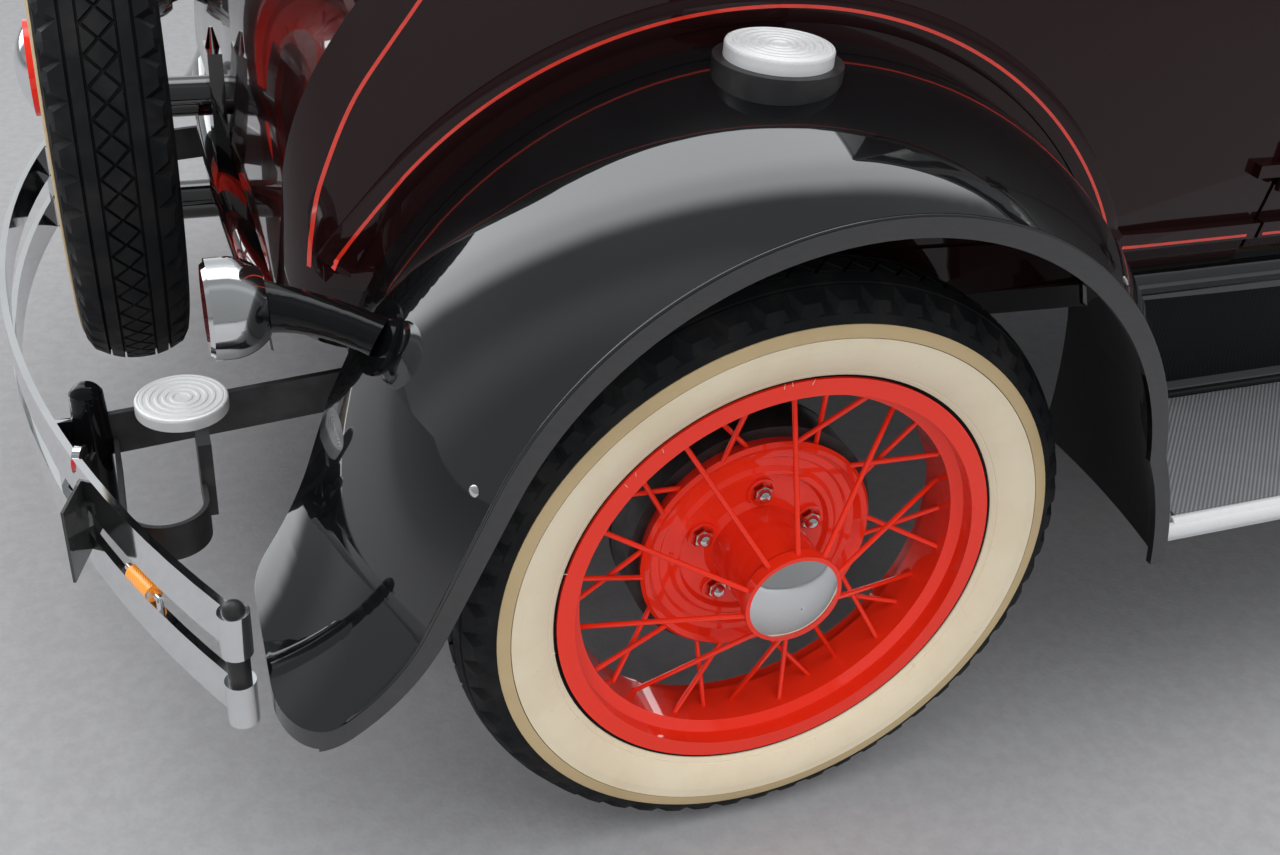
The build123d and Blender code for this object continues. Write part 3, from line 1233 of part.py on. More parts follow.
def main():
    save_wheels()
    save_body()
    save_glass()
    save("frame_chassis", frame_chassis())
    save("front_axle", front_axle())
    save("rear_axle", rear_axle())
    save("knuckle_left", knuckle())
    save("knuckle_right", other_side(knuckle()))
    save("tie_rod", tie_rod())
    save("steering_column", steering_column())
    save("steering_wheel", steering_wheel())
    save("engine_block", engine_block())
    save("exhaust", exhaust())
    save("bench_cushion", bench_cushion())
    save("bench_back", bench_back())
    save("rumble_cushion", rumble_cushion())
    save("rumble_back", rumble_back())
    fender = rear_fender()
    save("rear_fender_left", fender)
    save("rear_fender_right", other_side(fender))
    bumper = rear_bumper()
    save("rear_bumper", bumper)
    save("step_plates", step_pads(other_side(fender), bumper))
    save("tail_lamps", tail_lamps(fender))
    save("front_fender_left", front_fender())
    save("front_fender_right", other_side(front_fender()))
    save("running_boards", both_sides(running_board(fender)))
    save("splash_aprons", both_sides(splash_apron()) + both_sides(hood_sill()))
    save("radiator_shell", radiator_shell())
    save("radiator_core", radiator_core())
    save("hood_left", hood_half(130))
    save("hood_right", other_side(hood_half(190)))
    save("headlamps", headlamps())
    save("front_bumper", front_bumper())
    save("spare_carrier", spare_carrier())


main()
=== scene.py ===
import math
import random

import bpy
import bmesh
from mathutils import Matrix, Vector
from mathutils.bvhtree import BVHTree


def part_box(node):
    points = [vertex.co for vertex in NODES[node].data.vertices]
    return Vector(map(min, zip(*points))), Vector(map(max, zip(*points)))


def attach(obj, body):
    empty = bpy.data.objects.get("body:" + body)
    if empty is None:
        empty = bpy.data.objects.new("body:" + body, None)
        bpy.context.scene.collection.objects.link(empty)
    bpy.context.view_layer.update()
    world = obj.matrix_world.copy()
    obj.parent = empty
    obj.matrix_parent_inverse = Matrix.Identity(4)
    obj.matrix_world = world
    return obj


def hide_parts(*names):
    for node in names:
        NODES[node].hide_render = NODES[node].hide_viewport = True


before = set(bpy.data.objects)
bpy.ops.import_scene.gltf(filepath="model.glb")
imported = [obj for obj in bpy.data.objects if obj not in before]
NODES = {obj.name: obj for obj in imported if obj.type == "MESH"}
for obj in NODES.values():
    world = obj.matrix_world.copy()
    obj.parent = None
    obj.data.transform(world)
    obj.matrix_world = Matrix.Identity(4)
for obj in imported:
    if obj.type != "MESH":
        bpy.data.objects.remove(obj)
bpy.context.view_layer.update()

MM = 0.001
SIDES = {"left": 1, "right": -1}
STATIONS = ("front_left", "front_right", "rear_left", "rear_right")


# Materials

def set_inputs(node, **values):
    """Sets a node's sockets, with _ for a space in a socket's name."""
    for socket, value in values.items():
        node.inputs[socket.replace("_", " ")].default_value = value
    return node


class Finish:
    """A Principled material with helpers for procedural detail in object coordinates."""

    def __init__(self, name, colour, rough, metal=0.0, **sockets):
        self.material = bpy.data.materials.new(name)
        self.material.use_nodes = True
        self.nodes = self.material.node_tree.nodes
        self.link = self.material.node_tree.links.new
        self.shader = self.nodes["Principled BSDF"]
        self.colour = (*colour, 1)
        set_inputs(self.shader, Base_Color=self.colour, Roughness=rough, Metallic=metal, **sockets)
        self.coords = self.nodes.new("ShaderNodeTexCoord").outputs["Object"]

    def node(self, kind, **values):
        return set_inputs(self.nodes.new(f"ShaderNode{kind}"), **values)

    def place(self, stretch):
        if not stretch:
            return self.coords
        node = self.node("Mapping", Scale=stretch)
        self.link(self.coords, node.inputs["Vector"])
        return node.outputs["Vector"]

    def texture(self, kind, stretch=None, **values):
        node = self.node(f"Tex{kind}", **values)
        self.link(self.place(stretch), node.inputs["Vector"])
        return node

    def noise(self, scale, detail, rough=0.5, stretch=None):
        return self.texture("Noise", stretch, Scale=scale, Detail=detail, Roughness=rough).outputs["Fac"]

    def wave(self, scale, direction, stretch=None):
        node = self.texture("Wave", stretch, Scale=scale)
        node.bands_direction = direction
        return node.outputs["Fac"]

    def times(self, a, b):
        node = self.node("Math")
        node.operation = "MULTIPLY"
        self.link(a, node.inputs[0])
        self.link(b, node.inputs[1])
        return node.outputs["Value"]

    def ramp(self, value, low, high, out_low=0.0, out_high=1.0):
        node = self.node("MapRange", From_Min=low, From_Max=high, To_Min=out_low, To_Max=out_high)
        self.link(value, node.inputs["Value"])
        return node.outputs["Result"]

    def tint(self, colour, share):
        """Mixes another colour over the base by a share socket."""
        node = self.node("Mix")
        node.data_type = "RGBA"
        set_inputs(node, A=self.colour, B=(*colour, 1))
        base = self.shader.inputs["Base Color"]
        if base.is_linked:
            self.link(base.links[0].from_socket, node.inputs["A"])
        self.link(share, node.inputs["Factor"])
        self.link(node.outputs["Result"], base)
        return self

    def mottle(self, colour, scale, detail, low, high, share, rough=0.5):
        """Lays another colour over the base in clouds."""
        return self.tint(colour, self.ramp(self.noise(scale, detail, rough), low, high, 0, share))

    def vary_rough(self, scale, detail, low, high):
        self.link(self.ramp(self.noise(scale, detail), 0.3, 0.7, low, high), self.shader.inputs["Roughness"])
        return self

    def bump(self, height, strength, distance):
        node = self.node("Bump", Strength=strength, Distance=distance)
        self.link(height, node.inputs["Height"])
        normal = self.shader.inputs["Normal"]
        if normal.is_linked:
            self.link(normal.links[0].from_socket, node.inputs["Normal"])
        self.link(node.outputs["Normal"], normal)
        return self

    def grain(self, scale, detail, strength, distance):
        return self.bump(self.noise(scale, detail), strength, distance)

    def ribs(self, scale, direction, strength, distance):
        return self.bump(self.wave(scale, direction), strength, distance)

    def pebbles(self, scale, strength, distance):
        return self.bump(self.texture("Voronoi", Scale=scale).outputs["Distance"], strength, distance)


def enamel(name, colour, dust, rough=0.16, gloss=1.5):
    """Gloss coach enamel: faint orange peel and a breath of dust."""
    finish = Finish(name, colour, rough, Coat_Weight=1.0, Coat_Roughness=0.02, Coat_IOR=gloss,
                    Specular_IOR_Level=0.05)
    finish.mottle(dust, 6, 4, 0.5, 0.85, 0.03).vary_rough(14, 3, rough * 0.8, rough * 1.6)
    return finish.grain(380, 2, 0.02, 0.0003)


def plating(name, colour, rough):
    """Polished plating with faint wipe marks."""
    finish = Finish(name, colour, rough, 1.0).vary_rough(30, 4, rough * 0.6, rough * 2.2)
    finish.mottle([c * 0.8 for c in colour], 9, 5, 0.5, 0.75, 0.35)
    return finish.bump(finish.noise(60, 2, stretch=(1, 1, 6)), 0.03, 0.0003)


def aluminium():
    """Cast and turned aluminium, bright with a fine grain."""
    finish = Finish("CastAluminium", (0.68, 0.69, 0.7), 0.42, 0.35)
    finish.vary_rough(240, 4, 0.36, 0.52).mottle((0.6, 0.61, 0.62), 90, 5, 0.5, 0.8, 0.35)
    return finish.grain(700, 3, 0.08, 0.0003)


def satin(name, colour, lighter, rough):
    """Brushed-on satin paint over metal, with dust and grain."""
    finish = Finish(name, colour, rough).mottle(lighter, 18, 5, 0.45, 0.75, 0.5, 0.6)
    return finish.vary_rough(40, 3, rough * 0.8, rough * 1.3).grain(260, 4, 0.15, 0.0006)


def cloth(name, colour, lighter, thread):
    """Plain weave from two crossed waves."""
    finish = Finish(name, colour, 0.85, Sheen_Weight=0.3, Sheen_Roughness=0.5)
    finish.mottle(lighter, 25, 5, 0.4, 0.7, 0.5)
    finish.ribs(thread, "X", 0.3, 0.0006).ribs(thread, "Y", 0.3, 0.0006)
    return finish.grain(500, 3, 0.15, 0.0004)


def leather(name, colour, worn):
    """Pebbled hide, lighter where it has worn."""
    finish = Finish(name, colour, 0.42, Specular_IOR_Level=0.5)
    finish.mottle(worn, 9, 6, 0.5, 0.78, 0.6, 0.6).vary_rough(22, 3, 0.34, 0.55)
    return finish.pebbles(420, 0.35, 0.0008).grain(90, 5, 0.2, 0.001)


BLACK = (0.0028, 0.003, 0.0034)
GREY_DUST = (0.08, 0.08, 0.08)


def make_materials():
    line = Finish("CoachLine", (0.62, 0.03, 0.012), 0.25, Coat_Weight=1.0)
    glass = Finish("PlateGlass", (0.86, 0.93, 0.9), 0.02, Transmission_Weight=1.0, IOR=1.45)
    amber = Finish("AmberGlass", (0.95, 0.33, 0.02), 0.12, Coat_Weight=1.0)
    ruby = Finish("RubyGlass", (0.5, 0.008, 0.01), 0.1, Coat_Weight=1.0)
    lens = Finish("LampGlass", (0.9, 0.92, 0.92), 0.06, Coat_Weight=1.0)
    found = {
        "body": enamel("BodyEnamel", (0.011, 0.0028, 0.0032), (0.09, 0.06, 0.055), gloss=1.36),
        "black": enamel("FenderEnamel", BLACK, GREY_DUST, gloss=1.85),
        "jet": enamel("LampEnamel", BLACK, GREY_DUST, gloss=1.28),
        "red": enamel("WheelEnamel", (0.78, 0.026, 0.008), (0.8, 0.14, 0.08), 0.2),
        "plate": enamel("PlatePaint", (0.035, 0.036, 0.036), (0.3, 0.28, 0.24), 0.3),
        "line": line.mottle((0.45, 0.02, 0.01), 60, 3, 0.4, 0.7, 0.5),
        "chrome": plating("Chrome", (0.78, 0.79, 0.8), 0.05),
        "alu": aluminium(),
        "satin": satin("FrameBlack", (0.012, 0.012, 0.013), (0.05, 0.048, 0.045), 0.45),
        "iron": satin("CastIron", (0.03, 0.03, 0.032), (0.09, 0.075, 0.06), 0.6),
        "steel": satin("ExhaustSteel", (0.12, 0.1, 0.09), (0.25, 0.16, 0.1), 0.55),
        "rubber": rubber(),
        "white": whitewall("CreamWall", (0.72, 0.63, 0.47), (0.6, 0.48, 0.31)),
        "ochre": whitewall("AgedEdge", (0.5, 0.38, 0.21), (0.38, 0.28, 0.15)),
        "mat": mat_rubber(),
        "roof": leather("RoofCloth", (0.009, 0.009, 0.0095), (0.02, 0.02, 0.02)),
        "hide": leather("PadHide", (0.05, 0.018, 0.009), (0.12, 0.05, 0.03)),
        "cloth": cloth("PadCloth", (0.13, 0.09, 0.06), (0.2, 0.15, 0.1), 900),
        "wood": boards(),
        "glass": glass.vary_rough(5, 4, 0.01, 0.06),
        "amber": amber.ribs(160, "X", 0.4, 0.001),
        "ruby": ruby.pebbles(260, 0.6, 0.0015),
        "lens": lens.mottle((0.5, 0.52, 0.53), 14, 3, 0.3, 0.7, 0.6).ribs(60, "Y", 0.8, 0.003),
    }
    return {name: finish.material for name, finish in found.items()}


def rubber():
    finish = Finish("TyreRubber", (0.008, 0.0085, 0.0095), 0.62, Specular_IOR_Level=0.16)
    finish.mottle((0.028, 0.027, 0.026), 20, 5, 0.45, 0.75, 0.5, 0.6)
    return finish.vary_rough(50, 3, 0.5, 0.75).grain(400, 4, 0.2, 0.0006)


def whitewall(name, colour, aged):
    finish = Finish(name, colour, 0.55).mottle(aged, 7, 6, 0.45, 0.75, 0.55, 0.65)
    finish.mottle((0.3, 0.22, 0.13), 70, 4, 0.66, 0.75, 0.35, 0.7)
    return finish.vary_rough(30, 3, 0.45, 0.65).grain(120, 4, 0.12, 0.0008)


MAT_GRAIN = 95  # scale of the two crossed waves that make its diamonds


def mat_rubber():
    """Grey mat with a fine diamond grain, and painted shade that darkens the grooves between the diamonds."""
    finish = Finish("StepMat", (0.2, 0.21, 0.225), 0.6)
    finish.mottle((0.26, 0.265, 0.27), 12, 5, 0.4, 0.75, 0.4)
    diamonds = finish.times(finish.wave(MAT_GRAIN, "DIAGONAL"), finish.wave(MAT_GRAIN, "DIAGONAL", (1, -1, 1)))
    # Painted shade: the low parts of the diamond pattern, where the bump makes its grooves, are tinted near
    # black.
    finish.tint((0.045, 0.047, 0.05), finish.ramp(diamonds, 0.5, 0.15, 0, 0.8))
    return finish.bump(diamonds, 0.6, 0.0012).grain(300, 3, 0.1, 0.0005)


def boards():
    finish = Finish("FloorBoards", (0.045, 0.03, 0.02), 0.55)
    grain = finish.noise(30, 5, 0.6, stretch=(0.4, 6, 1))
    finish.tint((0.1, 0.065, 0.04), finish.ramp(grain, 0.4, 0.7))
    return finish.bump(grain, 0.3, 0.001)


MATS = make_materials()


def dress(node, name):
    """Gives a CAD node one finish."""
    NODES[node].data.materials.clear()
    NODES[node].data.materials.append(MATS[name])


def dress_faces(node, names, pick):
    """Gives a CAD node several finishes: pick(centre, normal) is an index into names."""
    mesh = NODES[node].data
    mesh.materials.clear()
    for name in names:
        mesh.materials.append(MATS[name])
    for face in mesh.polygons:
        face.material_index = int(pick(face.center, face.normal))


def both(name):
    return [f"{name}_{word}" for word in SIDES]


def dress_frame():
    """Finish of each carried-over CAD node."""
    plain = {
        "body": ("back_panel", "tail_panel", *both("quarter_panel")),
        "black": ("steering_column", "steering_wheel", "windshield_frame", *both("front_fender"),
                  *both("rear_fender")),
        "jet": ("splash_aprons",),
        "satin": ("frame_chassis", "front_axle", "rear_axle", "tie_rod", "radiator_core", *both("knuckle")),
        "roof": ("roof",),
        "wood": ("seat_boxes",),
        "iron": ("engine_block",),
        "steel": ("exhaust",),
        "glass": ("fixed_glass", *both("door_glass")),
        "chrome": ("radiator_shell",),
    }
    for name, nodes in plain.items():
        for node in nodes:
            dress(node, name)
    for station in STATIONS:
        dress(f"brake_drum_{station}", "satin")
    for station, _, centre, turn in wheel_places():
        back = Matrix.Rotation(-turn, 3, "Z")
        dress_faces(wheel_node("wire_wheel", station), ("red", "chrome"),
                    lambda c, n: pick_wheel(back @ (c - centre)))
    dress_faces("floor_pan", ("wood", "black"), lambda c, n: abs(n.z) < 0.6 or c.z < FLOOR_UNDER_Z)
    dress_faces("rear_bumper", ("chrome", "satin", "amber", "plate", "ruby", "jet"), pick_rear_bumper)
    dress_faces("front_bumper", ("chrome", "satin"), lambda c, n: c.x < BUMPER_FACE_X - FRONT_BAR_DEPTH)
    dress_faces("step_plates", ("alu", "satin"), lambda c, n: not on_step(c))
    dress_faces("tail_lamps", ("chrome", "jet", "ruby"), pick_tail_lamp)
    dress_faces("headlamps", ("chrome", "lens"), lambda c, n: n.x > 0.6 and c.x > HEADLAMP_FACE_X)
    dress_faces("running_boards", ("mat", "alu"), lambda c, n: abs(n.z) < 0.5 or abs(c.y) > NOSING_Y)
    dress_faces("spare_carrier", ("black", "chrome"), lambda c, n: c.x > CARRIER_X and c.z > CARRIER_Z)
    dress_faces("cowl", ("body", "chrome"), on_filler)
    dress_faces("rumble_lid", ("body", "chrome"), on_lid_handle)
    for word in SIDES:
        dress_faces(f"door_{word}", ("body", "chrome"), on_handle)
        dress_faces(f"hood_{word}", ("body", "chrome"), on_latch)


BUMPER_HALF = 0.767
REAR_BUMPER_R = 1.56
BUMPER_FACE_X = 1.979
FRONT_BAR_DEPTH = 0.12
HEADLAMP_FACE_X = 1.55
NOSING_Y = 0.8245
FLOOR_UNDER_Z = 0.5705
CARRIER_X, CARRIER_Z = -1.7, 0.7275
# middle x and y, foot and top z, radius
STEP_PLATES = ((-1.234, -0.655, 0.910, 0.922, 0.0525), (-1.787, -0.441, 0.476, 0.488, 0.0495))
MARKER_Y = 0.616
MARKER_R = 0.0245
MARKER_Z = (0.3735, 0.3945)
PLATE_ENDS = (-0.57, -0.43)
REFLECTOR_Z = 0.4405
EYE_HALF = 0.0165
EYE_GAP = (0.3705, 0.4045)
EYE_TOP_Z = 0.4555
BAR_THICK = 0.008
BAR_SKIN = 0.0085
CLAMP_Y = 0.404
CLAMP_HALF = 0.024
CLAMP_DEPTH = 0.07
TAIL_LAMP = (-1.759, 0.55, 0.65)
LENS_R = 0.0465
LAMP_R, LAMP_DEPTH = 0.052, 0.0565
# front x, half width and foot z
FILLER = (0.53, 0.04, 1.2225)
# middle x, half length and half width, foot z
LID_HANDLE = (-1.026, 0.025, 0.062, 1.2325)
HANDLE = (0.16, 1.14)
HANDLE_HALF = 0.027
HANDLE_ENDS = (-0.12, 0.03)
DOOR_SKIN_Y = 0.6225
LATCH_Z = (0.66, 0.722)
HOOD_ENDS = (0.566, 1.324)
HOOD_HALF = 0.44
HOOD_TAPER = 0.168


def rear_bar_x(y):
    """Inner face of the curved rear bars at y."""
    bow = REAR_BUMPER_R - math.sqrt(REAR_BUMPER_R ** 2 - min(abs(y), BUMPER_HALF) ** 2)
    return bow - BUMPER_FACE_X + BAR_THICK


def on_step(c):
    for x, y, low, high, r in STEP_PLATES:
        if math.hypot(c.x - x, c.y - y) < r and low - 0.0005 < c.z < high + 0.0005:
            return True
    return False


def on_filler(c, n):
    """The filler cap on top of the cowl."""
    x, half, z = FILLER
    return c.x < x and abs(c.y) < half and c.z > z


def on_lid_handle(c, n):
    x, half_x, half_y, z = LID_HANDLE
    return abs(c.x - x) < half_x and abs(c.y) < half_y and c.z > z


def on_handle(c, n):
    """The lever handle stands out past the door's skin."""
    x, z = HANDLE
    return abs(c.z - z) < HANDLE_HALF and abs(c.y) > DOOR_SKIN_Y and HANDLE_ENDS[0] < c.x - x < HANDLE_ENDS[1]


def on_latch(c, n):
    """The latches are the lowest parts that stand out past the hood's sloping side."""
    share = (c.x - HOOD_ENDS[0]) / (HOOD_ENDS[1] - HOOD_ENDS[0])
    return LATCH_Z[0] < c.z < LATCH_Z[1] and abs(c.y) > HOOD_HALF - HOOD_TAPER * share + 0.0012


def pick_rear_bumper(c, n):
    """Chrome bars and eyes, satin arms and spacers, gloss clamps, amber markers and the blank plate."""
    chrome, satin, amber, plate, ruby, jet = range(6)
    y = abs(c.y)
    bar = rear_bar_x(c.y)
    reach = max(math.hypot(c.x - bar, y - MARKER_Y), abs(c.x - bar + 0.004))
    if reach < MARKER_R and MARKER_Z[0] < c.z < MARKER_Z[1]:
        return amber
    if c.x < bar - 0.0086 and PLATE_ENDS[0] < c.y < PLATE_ENDS[1]:
        return ruby if c.z > REFLECTOR_Z else plate
    if y > BUMPER_HALF - EYE_HALF:
        return satin if EYE_GAP[0] < c.z < EYE_GAP[1] or c.z > EYE_TOP_Z else chrome
    if c.x < bar + BAR_SKIN:
        return chrome
    return jet if c.x < bar + CLAMP_DEPTH and abs(y - CLAMP_Y) < CLAMP_HALF else satin


RING_RADII = (0.010, 0.018, 0.026, 0.034, 0.042)
RING_SIDES = 72
RING_FLOOR, RING_TOP = 0.0012, 0.0026
RING_FLAT, RING_FOOT = 0.0012, 0.0024  # half widths of a ridge


def add_step_rings():
    """Turned ridges on the two round step plates."""
    for name, (x, y, _, high, reach) in zip(("fender", "bumper"), STEP_PLATES):
        edge = reach - 0.0005
        profile = [(0.0, RING_FLOOR)]
        for r in RING_RADII:
            profile += [(r - RING_FOOT, RING_FLOOR), (r - RING_FLAT, RING_TOP), (r + RING_FLAT, RING_TOP),
                        (r + RING_FOOT, RING_FLOOR)]
        profile += [(edge - 0.004, 0.0012), (edge - 0.003, 0.0024), (edge - 0.001, 0.0018), (edge, 0.0),
                    (edge, -0.002)]
        verts, faces = [], []
        for turn in turns(RING_SIDES):
            verts += [Vector((x + r * math.cos(turn), y + r * math.sin(turn), high + h)) for r, h in profile]
        width = len(profile)
        top = len(verts)
        verts += [Vector((x, y, high + RING_FLOOR)), Vector((x, y, high - 0.002))]
        for i in range(RING_SIDES):
            a, b = i * width, (i + 1) % RING_SIDES * width
            faces += [(a + k, b + k, b + k + 1, a + k + 1) for k in range(width - 1)]
            faces += [(top, b, a), (top + 1, a + width - 1, b + width - 1)]
        add_mesh(f"step_rings_{name}", verts, faces, "alu", slot="step_aluminium", sharp=35)


def pick_tail_lamp(c, n):
    """Ruby lens, chrome case and gloss bracket."""
    chrome, jet, ruby = range(3)
    x, y, z = TAIL_LAMP
    reach = math.hypot(abs(c.y) - y, c.z - z)
    if c.x < x + 0.0002 and reach < LENS_R:
        return ruby
    return chrome if c.x < x + LAMP_DEPTH and reach < LAMP_R else jet


CAP_R = 0.0525
NOSE_S = 0.082
LUG_CIRCLE = 0.06985
LUG_REACH = 0.0112
LUG_COUNT = 5
HUB_PLATE_S = -0.026


def pick_wheel(c):
    """Chrome for the hub cap and the lug nuts, in wheel coordinates."""
    r = math.hypot(c.x, c.z)
    if c.y > NOSE_S + 0.0004 and r < CAP_R:
        return 1
    for i in range(LUG_COUNT):
        angle = math.radians(90 + 360 * i / LUG_COUNT)
        reach = math.hypot(c.x - LUG_CIRCLE * math.cos(angle), c.z - LUG_CIRCLE * math.sin(angle))
        if reach < LUG_REACH and c.y > HUB_PLATE_S + 0.0003:
            return 1
    return 0


# Mesh pieces

def put(name, data):
    """New object in the scene."""
    obj = bpy.data.objects.new(name, data)
    bpy.context.scene.collection.objects.link(obj)
    return obj


def add_mesh(name, verts, faces, material, body="chassis", slot="body_paint", smooth=True, sharp=None):
    """A piece that rides on a body; edges over sharp degrees stay hard."""
    mesh = bpy.data.meshes.new(name)
    mesh.from_pydata([tuple(v) for v in verts], [], faces)
    mesh.validate()
    bm = bmesh.new()
    bm.from_mesh(mesh)
    bmesh.ops.recalc_face_normals(bm, faces=bm.faces)
    bm.to_mesh(mesh)
    bm.free()
    obj = put(name, mesh)
    for one in ([material] if isinstance(material, str) else material):
        mesh.materials.append(MATS[one])
    if smooth:
        mesh.shade_smooth()
    if sharp:
        mesh.set_sharp_from_angle(angle=math.radians(sharp))
    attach(obj, body)
    return obj


def turns(sides):
    """Angles once round."""
    return [math.tau * i / sides for i in range(sides)]


def loft_faces(rows, n, closed=False):
    """Quads between rings of n points each, with end caps unless the last ring joins the first."""
    faces = []
    for i in range(rows if closed else rows - 1):
        a, b = i * n, (i + 1) % rows * n
        faces += [(a + k, a + (k + 1) % n, b + (k + 1) % n, b + k) for k in range(n)]
    if not closed:
        faces += [tuple(range(n)), tuple(range(rows * n - 1, rows * n - n - 1, -1))]
    return faces


def bent(points, steps):
    """Catmull-Rom line through points."""
    padded = [points[0], *points, points[-1]]
    out = []
    for i in range(len(points) - 1):
        p0, p1, p2, p3 = (Vector(p) for p in padded[i:i + 4])
        for k in range(steps):
            t = k / steps
            out.append(0.5 * (2 * p1 + (p2 - p0) * t + (2 * p0 - 5 * p1 + 4 * p2 - p3) * t ** 2
                              + (3 * p1 - p0 - 3 * p2 + p3) * t ** 3))
    return out + [Vector(points[-1])]


def lathe(profile, segments, close=True):
    """Ring of (s, r) points turned about the wheel's axle: verts and faces, s along Y."""
    verts = [Vector((r * math.cos(turn), s, r * math.sin(turn))) for turn in turns(segments) for s, r in profile]
    count = len(profile)
    faces = loft_faces(segments, count, closed=True)
    return verts, [face for i, face in enumerate(faces) if close or i % count < count - 1]


def arc_points(a, b, c, steps):
    """Points on the arc through three (s, r) points."""
    (ax, ay), (bx, by), (cx, cy) = a, b, c
    d = 2 * (ax * (by - cy) + bx * (cy - ay) + cx * (ay - by))
    aa, bb, cc = (p * p + q * q for p, q in (a, b, c))
    ux = (aa * (by - cy) + bb * (cy - ay) + cc * (ay - by)) / d
    uy = (aa * (cx - bx) + bb * (ax - cx) + cc * (bx - ax)) / d
    r = math.hypot(ax - ux, ay - uy)
    t0 = math.atan2(ay - uy, ax - ux)
    t1 = math.atan2(by - uy, bx - ux)
    t2 = math.atan2(cy - uy, cx - ux)
    if (t1 - t0) % math.tau > (t2 - t0) % math.tau:
        span = -((t0 - t2) % math.tau)
    else:
        span = (t2 - t0) % math.tau
    return [(ux + r * math.cos(t0 + span * i / steps), uy + r * math.sin(t0 + span * i / steps))
            for i in range(steps + 1)]


def wheel_places():
    """Station name, body, centre and turn about Z of each wheel."""
    places = []
    for station in (*STATIONS, "spare"):
        low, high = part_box(wheel_node("tyre", station))
        centre = (low + high) / 2
        if station == "spare":
            places.append((station, "chassis", centre, math.pi / 2))
        else:
            places.append((station, f"wheel_{station}", centre, 0 if centre.y > 0 else math.pi))
    return places


def wheel_node(kind, station):
    """CAD node of a wheel's tyre or wire wheel."""
    return f"spare_{kind}" if station == "spare" else f"{kind}_{station}"


TYRE_R = 0.362
SHOULDER = (0.052, 0.346)
WIDEST = (0.063, 0.300)
BEAD = (0.045, 0.257)
TYRE_HALF = 0.0645
RIB_R = (0.3103, 0.3122)
GROOVE = 0.007
BAND_PITCHES = 72
NOTCH_PITCHES = 56
TYRE_SIDES = 144
SEAT_R = 0.2415
PLAIN_RIB = (0.0195, 0.0325)
GROOVE_V = (0.05, 0.035, 0.017, 0, -0.017, -0.035, -0.05)
CARCASS_R = 0.335
NOTCH_FOOT_R = 0.324
FLANK = (0.0592, 0.334)
# inner and outer radius and finish of the ring's parts
RING_PARTS = ((0.2605, 0.3105, 1), (0.3103, 0.3245, 2))
RING_LINE = (0.2665, 0.2675)
WHISKERS = 34
WHISKER_RADII = (0.262, 0.262, 0.292, 0.310)


def crown(v):
    """Radius of the tread surface at the sideways place v."""
    reach, drop = SHOULDER[0], TYRE_R - SHOULDER[1]
    bend = (reach ** 2 + drop ** 2) / (2 * drop)
    return TYRE_R - bend + math.sqrt(bend ** 2 - v ** 2)


class Shell:
    """Collects verts and faces of one mesh."""

    def __init__(self):
        self.verts = []
        self.faces = []
        self.marks = []

    def add(self, points, faces, mark=0):
        base = len(self.verts)
        self.verts += points
        self.faces += [tuple(base + i for i in face) for face in faces]
        self.marks += [mark] * len(faces)

    def ring(self, profile, segments, mark=0):
        self.add(*lathe(profile, segments), mark)


def tread_point(angle, v, drop):
    r = crown(v) - drop
    return Vector((r * math.cos(angle), v, r * math.sin(angle)))


def tread_block(shell, outline):
    """Raised block over an outline of (angle, v) points."""
    top = [tread_point(a, v, 0.0004) for a, v in outline]
    mid_a = sum(a for a, v in outline) / len(outline)
    mid_v = sum(v for a, v in outline) / len(outline)
    foot = [tread_point(a + (a - mid_a) * 0.06, v + (v - mid_v) * 0.06, GROOVE + 0.001) for a, v in outline]
    shell.add(top + foot, loft_faces(2, len(outline)))


def tyre_mesh():
    """Carcass, lattice band, two plain ribs and notched shoulders."""
    shell = Shell()
    side = arc_points(BEAD, WIDEST, SHOULDER, 14)
    outer = [(s, r) for s, r in side if r < CARCASS_R]
    tread = [(v, crown(v) - GROOVE) for v in GROOVE_V]
    inner = [(-s, r) for s, r in reversed(outer)]
    rim_seat = [(-BEAD[0], SEAT_R), (BEAD[0], SEAT_R)]
    shell.ring(outer + tread + inner + rim_seat, TYRE_SIDES)
    lattice(shell)
    for side_sign in (1, -1):
        rib(shell, *sorted(v * side_sign for v in PLAIN_RIB))
        shoulder(shell, side_sign, side)
    return shell


def rib(shell, low, high):
    middle = (low + high) / 2
    profile = [(low - 0.0006, crown(low) - GROOVE - 0.001), (low, crown(low)), (middle, crown(middle)),
               (high, crown(high)), (high + 0.0006, crown(high) - GROOVE - 0.001)]
    shell.ring(profile, TYRE_SIDES)


def lattice(shell):
    half = 0.0165
    gap = 0.0016
    pitch = math.tau / BAND_PITCHES
    slack = gap / TYRE_R * 1.4
    for i in range(BAND_PITCHES):
        a = i * pitch
        reach = pitch / 2 - slack
        wide = half - 0.0035
        tread_block(shell, [(a - reach, 0), (a, -wide), (a + reach, 0), (a, wide)])
        mid = a + pitch / 2
        for edge in (half, -half):
            tip = math.copysign(gap * 1.6, edge)
            tread_block(shell, [(mid - reach, edge), (mid + reach, edge), (mid, tip)])


